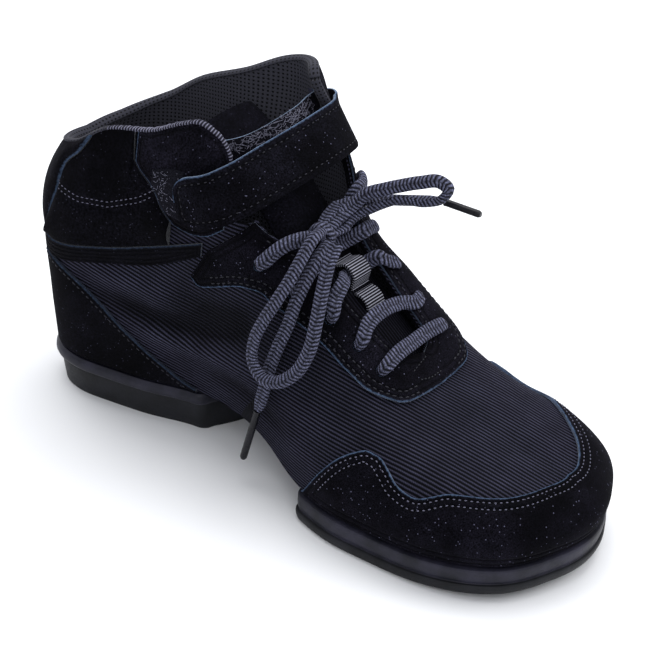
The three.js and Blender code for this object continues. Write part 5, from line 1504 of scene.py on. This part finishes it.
def free_lace():
    for name, points in aglet_paths.items():
        path = smooth_rows(points, 1.0)
        size = np.full(len(path), 3.1)
        size[0], size[-1] = 3.4, 2.2
        part = tube(path, carried(path, camera_side), size, size, sides=14)
        tube_piece(name + "_film", [part], [aglet_film], [name])
    knot_core = smooth_rows([(1.4, 120.3, 103.7), (7, 121.9, 104.5), (12.6, 123.3, 105.5)], 0.8)
    bulge = np.sin(np.linspace(0.25, np.pi - 0.25, len(knot_core)))
    parts = [tube(knot_core, (0, 0, 1), 4.5 + 2.2 * bulge, 4 + 2.2 * bulge)]
    turn = np.linspace(-2.4, 3.2, 40)
    wrap = np.stack([7 + 0.8 * turn, 121.9 + 4.4 * np.cos(turn), 104.6 + 4.2 * np.sin(turn)], 1)
    parts.append(tube(wrap, (1, 0.15, 0), 5.4, 2.4))
    for way_in in (
            [(8, 122, 105), (2, 122, 107.6), (-2.5, 122.8, 109.6), (-4, 123.2, 110.6)],
            [(8, 122, 104), (1, 123.6, 104.2), (-4.4, 125.2, 105.2)],
            [(7, 120.6, 106), (0, 118.6, 109), (-6.5, 118, 110.8)]):
        root = smooth_rows(way_in, 0.9)
        parts.append(tube(root, carried(root, camera_side), cord_width + 0.3, cord_height + 0.3))
    tube_piece("lace_knot_braid", parts, [lace_braid], ["lace_knot"])
    for name, points in cord_paths.items():
        path = smooth_rows(points, 1.2)
        end = np.ones(len(path))
        if "end" in name:
            end[-4:] = [0.95, 0.85, 0.72, 0.62]
        part = tube(path, carried(path, camera_side), cord_width * end, cord_height * (0.5 + 0.5 * end),
                    sides=16)
        piece = tube_piece(name + "_braid", [part], [lace_braid], [name])


free_lace()


def spine_at(y):
    rows = np.array(tongue_rows)[::-1]
    height = table_line([(row[0], row[1]) for row in rows])
    way = unit(np.array([0, 1, float(height(y + 1) - height(y - 1)) / 2]))
    return np.array([tongue_centre - 1.5, y, float(height(y))]), way, np.array([0, -way[2], way[1]])


keeper_half = 5.5


def keeper_piece(name, y, profile):
    """Webbing loop sewn to the tongue; profile is a list of ways along and over the tongue"""
    place, way, up = spine_at(y)
    rows = smooth_rows([[*(place + way * along + up * rise)] for along, rise in profile], 0.5)
    _, across, out = frames(rows, (1, 0, 0))
    count = 9
    shares = np.linspace(-1, 1, count)
    base = rows[:, None] + across[:, None] * (keeper_half * shares)[None, :, None]
    loop = np.concatenate([base + out[:, None] * 0.5, (base - out[:, None] * 0.5)[:, ::-1]], 1)
    arc = arc_of(rows)
    side = keeper_half * np.concatenate([shares, shares[::-1]])
    uv = np.stack(np.broadcast_arrays(arc[:, None], side[None]), 2).reshape(-1, 2)
    last_row = (len(rows) - 1) * 2 * count
    faces = grid_faces(len(rows), 2 * count, closed=True, turned=True).tolist()
    faces.append(list(range(2 * count)))
    faces.append(list(range(last_row + 2 * count - 1, last_row - 1, -1)))
    piece = make_mesh(name + "_webbing", loop.reshape(-1, 3), faces, [webbing], uv=uv, angle=50)
    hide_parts(name)


keeper_foot = gap + 0.5
keeper_piece("tongue_keeper_upper", 132.4, [
    (-7, keeper_foot), (-5.6, keeper_foot + 0.4), (-4.9, 2.6), (-3.4, 5.4), (3.4, 5.4), (4.9, 2.6),
    (5.6, keeper_foot + 0.4), (6.4, keeper_foot)])
keeper_piece("tongue_keeper_lower", 142.6, [
    (-4.2, keeper_foot), (-3, keeper_foot + 0.9), (3, keeper_foot + 0.9), (4.2, keeper_foot)])


# Seams: rows of stitches and the tape over the collar's edge
def moved_in(station, girth, distance, side):
    """Line on the last moved sideways by a distance; side is 1 to the left of its way and -1 to the right"""
    station, girth = np.array(station, float), np.array(girth, float)
    steps = max(1, int(abs(distance) / 0.8))
    for _ in range(steps):
        point = look_up(last, station, girth)
        way = unit(np.gradient(point, axis=0))
        out = unit(look_up(last_out, station, girth))
        goal = side * distance / steps * np.cross(out, way)
        by_station = (look_up(last, station + 0.02, girth) - look_up(last, station - 0.02, girth)) / 0.04
        by_girth = (look_up(last, station, girth + 0.4) - look_up(last, station, girth - 0.4)) / 0.8
        aa = np.sum(by_station * by_station, 1)
        ab = np.sum(by_station * by_girth, 1)
        bb = np.sum(by_girth * by_girth, 1)
        ga, gb = np.sum(goal * by_station, 1), np.sum(goal * by_girth, 1)
        turn = aa * bb - ab * ab
        station = station + (ga * bb - gb * ab) / turn
        girth = girth + (gb * aa - ga * ab) / turn
    return station, girth


def even_line(points, pitch):
    """Points a pitch apart along a line"""
    arc = arc_of(points)
    marks = np.arange(pitch / 2, arc[-1], pitch)
    return np.stack([np.interp(marks, arc, points[:, k]) for k in range(points.shape[1])], 1)


stitch_parts = []
# Ends and middle of a stitch: place along it and share of its thickness
stitch_profile = ((-0.5, 0.25), (-0.36, 0.85), (0, 1), (0.36, 0.85), (0.5, 0.25))
stitch_sides = 6


def sew(rows, length, wide, high, sway):
    """Stitches at rows of a point and the way out of the cloth, each turned a little to one side"""
    turns = [k * 2 * math.pi / stitch_sides for k in range(stitch_sides)]
    shape = np.array([(along * length, size * wide / 2 * math.cos(turn), size * high / 2 * math.sin(turn))
                      for along, size in stitch_profile for turn in turns])
    tilts = np.sin(np.arange(len(rows)) * 12.9898) * sway
    for row, way, tilt in zip(rows, unit(np.gradient(rows[:, :3], axis=0)), tilts):
        out = unit(row[3:6])
        way = unit(way + unit(np.cross(out, way)) * tilt)
        side = np.cross(out, way)
        stitch_parts.append(row[:3] + shape[:, :1] * way + shape[:, 1:2] * side + shape[:, 2:3] * out)


def stitch_row(station, girth, off, pitch=2.5, length=1.6, wide=0.62, high=0.5):
    """A row of stitches along a line of the last"""
    line = surface(station, girth, off)
    outs = unit(look_up(last_out, station, girth))
    sew(even_line(np.concatenate([line, outs], 1), pitch), length, wide, high, 0.06)


def finish_stitches(name, look=thread):
    """All rows since the last call as one piece"""
    faces = grid_faces(len(stitch_profile), stitch_sides, closed=True).tolist()
    faces += [[5, 4, 3, 2, 1, 0], [24, 25, 26, 27, 28, 29]]
    size = len(stitch_parts[0])
    all_faces = [[size * k + v for v in face] for k in range(len(stitch_parts)) for face in faces]
    piece = make_mesh(name, np.concatenate(stitch_parts), all_faces, [look], angle=60, merge=None)
    stitch_parts.clear()


def edge_rows(start, stop, edge, distances, off, side, count=500, **look):
    """Stitch rows at distances inside a panel's edge, a function of the station"""
    station = np.linspace(start, stop, count)
    line = look_up(last, station, edge(station))
    for distance in distances:
        placed = moved_in(station, edge(station), distance, side)
        keep = distance_to([line], look_up(last, *placed)) > 0.93 * distance
        stitch_row(placed[0][keep], placed[1][keep], off, **look)


# Reinforcement at the front of the throat, and the quilting line of the collar
lens_rows = [
    [(9.28, 74.2), (9.24, 80), (9.2, 85.5)],
    [(9.46, 72.9), (9.54, 77.2), (9.56, 84)],
]
quilt_rows = np.array([(0.9, 83.5), (2.04, 81.5), (2.64, 80.2), (3.3, 81.6), (3.86, 87.5), (4.1, 91.5)])
thread_off = over_suede + 0.02
edge_rows(8.62, ring - 8.62, lambda s: cap_share(s) * reach_at(s), (2.0, 4.6), thread_off, -1, pitch=2.3,
          length=1.0, wide=0.5)
finish_stitches("toe_cap_stitches")
for start, stop in ((5.6, 9.7), (ring - 9.7, ring - 5.6)):
    edge_rows(start, stop, stay_bottom, (1.8, 4.4), thread_off, 1, pitch=2.8)
for start, stop in ((6.5, 8.9), (ring - 8.9, ring - 6.5)):
    edge_rows(start, stop, stay_top, (2.2,), thread_off, -1, pitch=2.8)
for line in lens_rows:
    rows = smooth_rows(line, 0.1)
    stitch_row(rows[:, 0], rows[:, 1], thread_off, pitch=1.9, length=1.1, wide=0.45)
finish_stitches("eyestay_stitches", dark_thread)
edge_rows(-4.9, 4.9, counter_top, (2.0,), thread_off, -1, pitch=2.8)
finish_stitches("heel_stitches", dark_thread)
for shift_up in (0, 2.6):
    for side in (1, -1):
        station = np.linspace(0.9, 4.1, 160)
        girth = np.interp(station, quilt_rows[:, 0], quilt_rows[:, 1]) + shift_up
        share = (girth - band_high(station)) / (collar_top(station) - band_high(station))
        high = padding(station, np.clip(share, 0, 1), 0)
        stitch_row(station if side > 0 else ring - station, girth, high + 0.05, pitch=2.3, length=1.1,
                   wide=0.45)
finish_stitches("collar_stitches")
for start, stop in ((3.9, 5.5), (-5.5, -3.9)):
    edge_rows(start, stop, ear_edge, (2.2,), thread_off, 1, pitch=2.8)
finish_stitches("ear_stitches", dark_thread)


def strap_stitches():
    """One row round the strap's free end, 3 mm inside its edge"""
    inset = 3.0
    spine, _, across, up, arc = strap_frame()
    half = strap_half(arc) - inset
    keep = (arc > inset) & (arc < 96)
    face = up * (strap_thickness / 2 + 0.02)
    low_row = spine - across * half[:, None] + face
    high_row = spine + across * half[:, None] + face
    start = np.flatnonzero(keep)[0]
    turn = spine[start] + across[start] * (half[start] * np.linspace(1, -1, 9)[1:-1])[:, None] + face[start]
    line = np.concatenate([high_row[keep][::-1], turn, low_row[keep]])
    outs = np.concatenate([up[keep][::-1], np.repeat(up[start][None], len(turn), 0), up[keep]])
    sew(even_line(np.concatenate([line, outs], 1), 3.0), 1.1, 0.48, 0.44, 0)
    finish_stitches("strap_stitches", dark_thread)


strap_stitches()


# How far the folded edge reaches out over the last: station, mm
edge_pads = np.array([(0, 2.0), (2.6, 2.0), (3.0, 1.7), (3.6, 1.7), (3.8, 1.8), (6, 1.8)])


def collar_edge(name, start, stop, look, rise, ragged):
    """Cloth folded over the top edge of the collar; ragged sets how much its height varies"""
    sides = 18
    station = np.linspace(start, stop, 60 + int(60 * (stop - start)))
    girth = top_girth(station)
    out = unit(look_up(last_out, station, girth))
    padded = np.interp(own(station), *edge_pads.T)
    inner = look_up(last, station, girth) - out * wall
    outer = look_up(last, station, girth) + out * padded[:, None]
    middle, wide = (inner + outer) / 2, np.linalg.norm(outer - inner, axis=1)
    _, across, up = frames(middle, out)
    up *= np.sign(up[:, 2:3])
    angle = np.linspace(0, 2 * np.pi, sides + 1)
    arc = arc_of(middle)
    rough = 1 + ragged * (np.sin(arc * 2.1) * np.sin(arc * 0.83 + 1) + 0.6 * np.sin(arc * 4.7))
    loop = (middle[:, None] + across[:, None] * ((wide[:, None] / 2 + 0.25) * np.cos(angle))[..., None]
            + up[:, None] * (rise * rough[:, None] * np.sin(angle) - 0.45)[..., None])
    uv = np.stack(np.broadcast_arrays(arc[:, None], (angle * 2.4)[None]), 2)
    points = np.concatenate([loop[:1] * 0 + middle[0], loop, loop[:1] * 0 + middle[-1]])
    piece = make_mesh(name, points.reshape(-1, 3), grid_faces(len(points), sides + 1), [look],
                      uv=capped(uv).reshape(-1, 2), angle=60)


collar_edge("collar_tape", ring + 3.0, ring + 5.68, tape, 0.95, 0.18)
collar_edge("collar_lining_roll", ring - 6.0, ring + 3.1, mesh_roll, 1.1, 0.0)


def hairs(starts, outs, ways, length, seed):
    """Fine curled hairs standing off a surface"""
    chance = np.random.default_rng(seed)
    parts = []
    for start, out, way in zip(starts, outs, ways):
        size = length * chance.uniform(0.5, 1.1)
        side = np.cross(out, way)
        goal = out * 0.6 + side * chance.uniform(-0.2, 0.9) + way * chance.uniform(-1, 1)
        curl = way * chance.uniform(-1, 1) - out * 0.6 + side * chance.uniform(-0.5, 0.5)
        t = np.linspace(0, 1, 6)[:, None]
        line = start + goal * size * t + curl * size * t * t
        parts.append(tube(line, np.cross(goal, curl + 0.01), hair_size, hair_size, sides=5))
    return parts


hair_count = 300
patch_hair_count = 70
hair_size = 0.15
camera_back = (0.69534, 0.48275, 0.53241)


def strap_hairs():
    spine, way, across, up, arc = strap_frame()
    chance = np.random.default_rng(5)
    picked = chance.choice(np.flatnonzero(arc > arc[-1] - 62), hair_count)
    face = up[picked] * np.sign(up[picked] @ np.array(camera_back))[:, None]
    inwards = strap_width / 2 - chance.uniform(0, 5.5, hair_count)
    starts = spine[picked] + across[picked] * inwards[:, None] + face * strap_thickness / 2
    return hairs(starts, face, way[picked], 2.6, 11)


def patch_hairs():
    chance = np.random.default_rng(8)
    station = chance.uniform(4.12, 4.75, patch_hair_count)
    low, high = patch_low(station), patch_high(station)
    girth = low + (high - low) * chance.uniform(0.03, 0.97, patch_hair_count)
    out = unit(look_up(last_out, station, girth))
    starts = surface(station, girth, patch_off + 1.1)
    ways = unit(np.cross(out, (0.0, 0.0, 1.0)))
    return hairs(starts, out, ways, 1.7, 21)


tube_piece("loop_fibres", strap_hairs() + patch_hairs(), [fibre], ())


def gore_piece():
    high = table_line([(6.32, 2.2), (6.94, 25.6)])
    low = table_line([(6.32, 0.6), (6.64, 0.9), (6.94, 25.0)])
    part = panel("arch_gore_stretch", 6.33, 6.92, low, high, level(0.05), level(0.35),
                 [webbing_dark, dark_edge, dark_edge], step=1.0, corner=0.3, drop=0.15)
    piece = make_mesh(part["name"], part["points"], part["faces"], part["materials"], uv=part["uv"],
                      slots=part["slots"], values={"border": part["border"]}, angle=40)


gore_piece()


# Holes of the lace and slot of the strap
def cut_holes(piece, tools):
    for tool in tools:
        change = piece.modifiers.new("cut", "BOOLEAN")
        change.operation = "DIFFERENCE"
        change.solver = "EXACT"
        change.object = tool
        bpy.context.view_layer.objects.active = piece
        bpy.ops.object.modifier_apply(modifier=change.name)


eyelet_radius, eyelet_depth = 0.0023, 0.009
eyelet_reach = 4.5
slot_size = (0.016, 0.0066, 0.026)
slot_lean, slot_turn = 22, 7


def eyelet_tools():
    tools = []
    for station, outer_share, inner_share in eyelet_rows:
        for share in (outer_share, -inner_share):
            low = to_frame(across_point(station, share * ball_width, -eyelet_reach))[0]
            high = to_frame(across_point(station, share * ball_width, eyelet_reach))[0]
            bpy.ops.mesh.primitive_cylinder_add(vertices=28, radius=eyelet_radius, depth=eyelet_depth)
            tool = bpy.context.object
            turned = Vector(high - low).to_track_quat("Z", "Y").to_matrix().to_4x4()
            tool.matrix_world = Matrix.Translation(Vector((low + high) / 2)) @ turned
            tools.append(tool)
    bpy.ops.object.select_all(action="DESELECT")
    for tool in tools:
        tool.select_set(True)
    bpy.context.view_layer.objects.active = tools[0]
    bpy.ops.object.join()
    joined = bpy.context.object
    joined.select_set(False)
    return joined


def slot_tool():
    bpy.ops.mesh.primitive_cube_add(size=1)
    tool = bpy.context.object
    lean = Matrix.Rotation(math.radians(slot_lean), 4, "X")
    turned = lean @ Matrix.Rotation(math.radians(slot_turn), 4, "Y")
    place = Vector(to_frame((-28.5, 91.5, 134.3))[0])
    tool.matrix_world = Matrix.Translation(place) @ turned @ Matrix.Diagonal((*slot_size, 1))
    tool.select_set(False)
    return tool


holes, slot_block = eyelet_tools(), slot_tool()
cut_holes(upper, [holes, slot_block])
cut_holes(eyestay, [holes])
cut_holes(ear_inner, [slot_block])
for tool in (holes, slot_block):
    bpy.data.objects.remove(tool)


# Floor, light and camera
def studio():
    bpy.ops.mesh.primitive_plane_add(size=6)
    floor = bpy.context.object
    floor.name = "floor"
    material = bpy.data.materials.new("pale_floor")
    material.use_nodes = True
    shader = material.node_tree.nodes["Principled BSDF"]
    shader.inputs["Base Color"].default_value = (0.88, 0.885, 0.9, 1)
    shader.inputs["Roughness"].default_value = 0.9
    floor.data.materials.append(material)
    floor.select_set(False)
    floor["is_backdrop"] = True
    bpy.context.scene.view_settings.view_transform = "Standard"
    world = bpy.data.worlds.new("studio")
    bpy.context.scene.world = world
    world.use_nodes = True
    world.node_tree.nodes["Background"].inputs["Color"].default_value = (0.92, 0.945, 1, 1)
    world.node_tree.nodes["Background"].inputs["Strength"].default_value = 0.62
    for name, place, size, power in (("key", (-0.4, -0.15, 1.7), 1.5, 25), ("fill", (0.9, 0.7, 1.1), 1.2, 4),
                                     ("rim", (-0.8, 0.9, 0.8), 0.8, 7), ("heel", (-0.2, -1.1, 0.7), 0.7, 5)):
        lamp = bpy.data.lights.new(name, "AREA")
        lamp.size = size
        lamp.energy = power
        light = bpy.data.objects.new(name, lamp)
        light.location = place
        light.rotation_euler = (Vector((0, 0.07, 0.06)) - Vector(place)).to_track_quat("-Z", "Y").to_euler()
        bpy.context.collection.objects.link(light)


def place_camera():
    lens_pixels, frame_pixels, sensor = 2024.46, 651, 36.0
    right, up = Vector((-0.60851, 0.78963, 0.07873)), Vector((-0.38240, -0.37872, 0.84282))
    back = Vector(camera_back)
    data = bpy.data.cameras.new("camera")
    data.sensor_width = sensor
    data.lens = lens_pixels / frame_pixels * sensor
    data.clip_start, data.clip_end = 0.05, 20
    camera = bpy.data.objects.new("camera", data)
    turned = Matrix((right, up, back)).transposed().to_4x4()
    camera.matrix_world = Matrix.Translation((0.57331, 0.497072, 0.508834)) @ turned
    bpy.context.collection.objects.link(camera)
    bpy.context.scene.camera = camera


studio()
place_camera()
low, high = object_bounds()
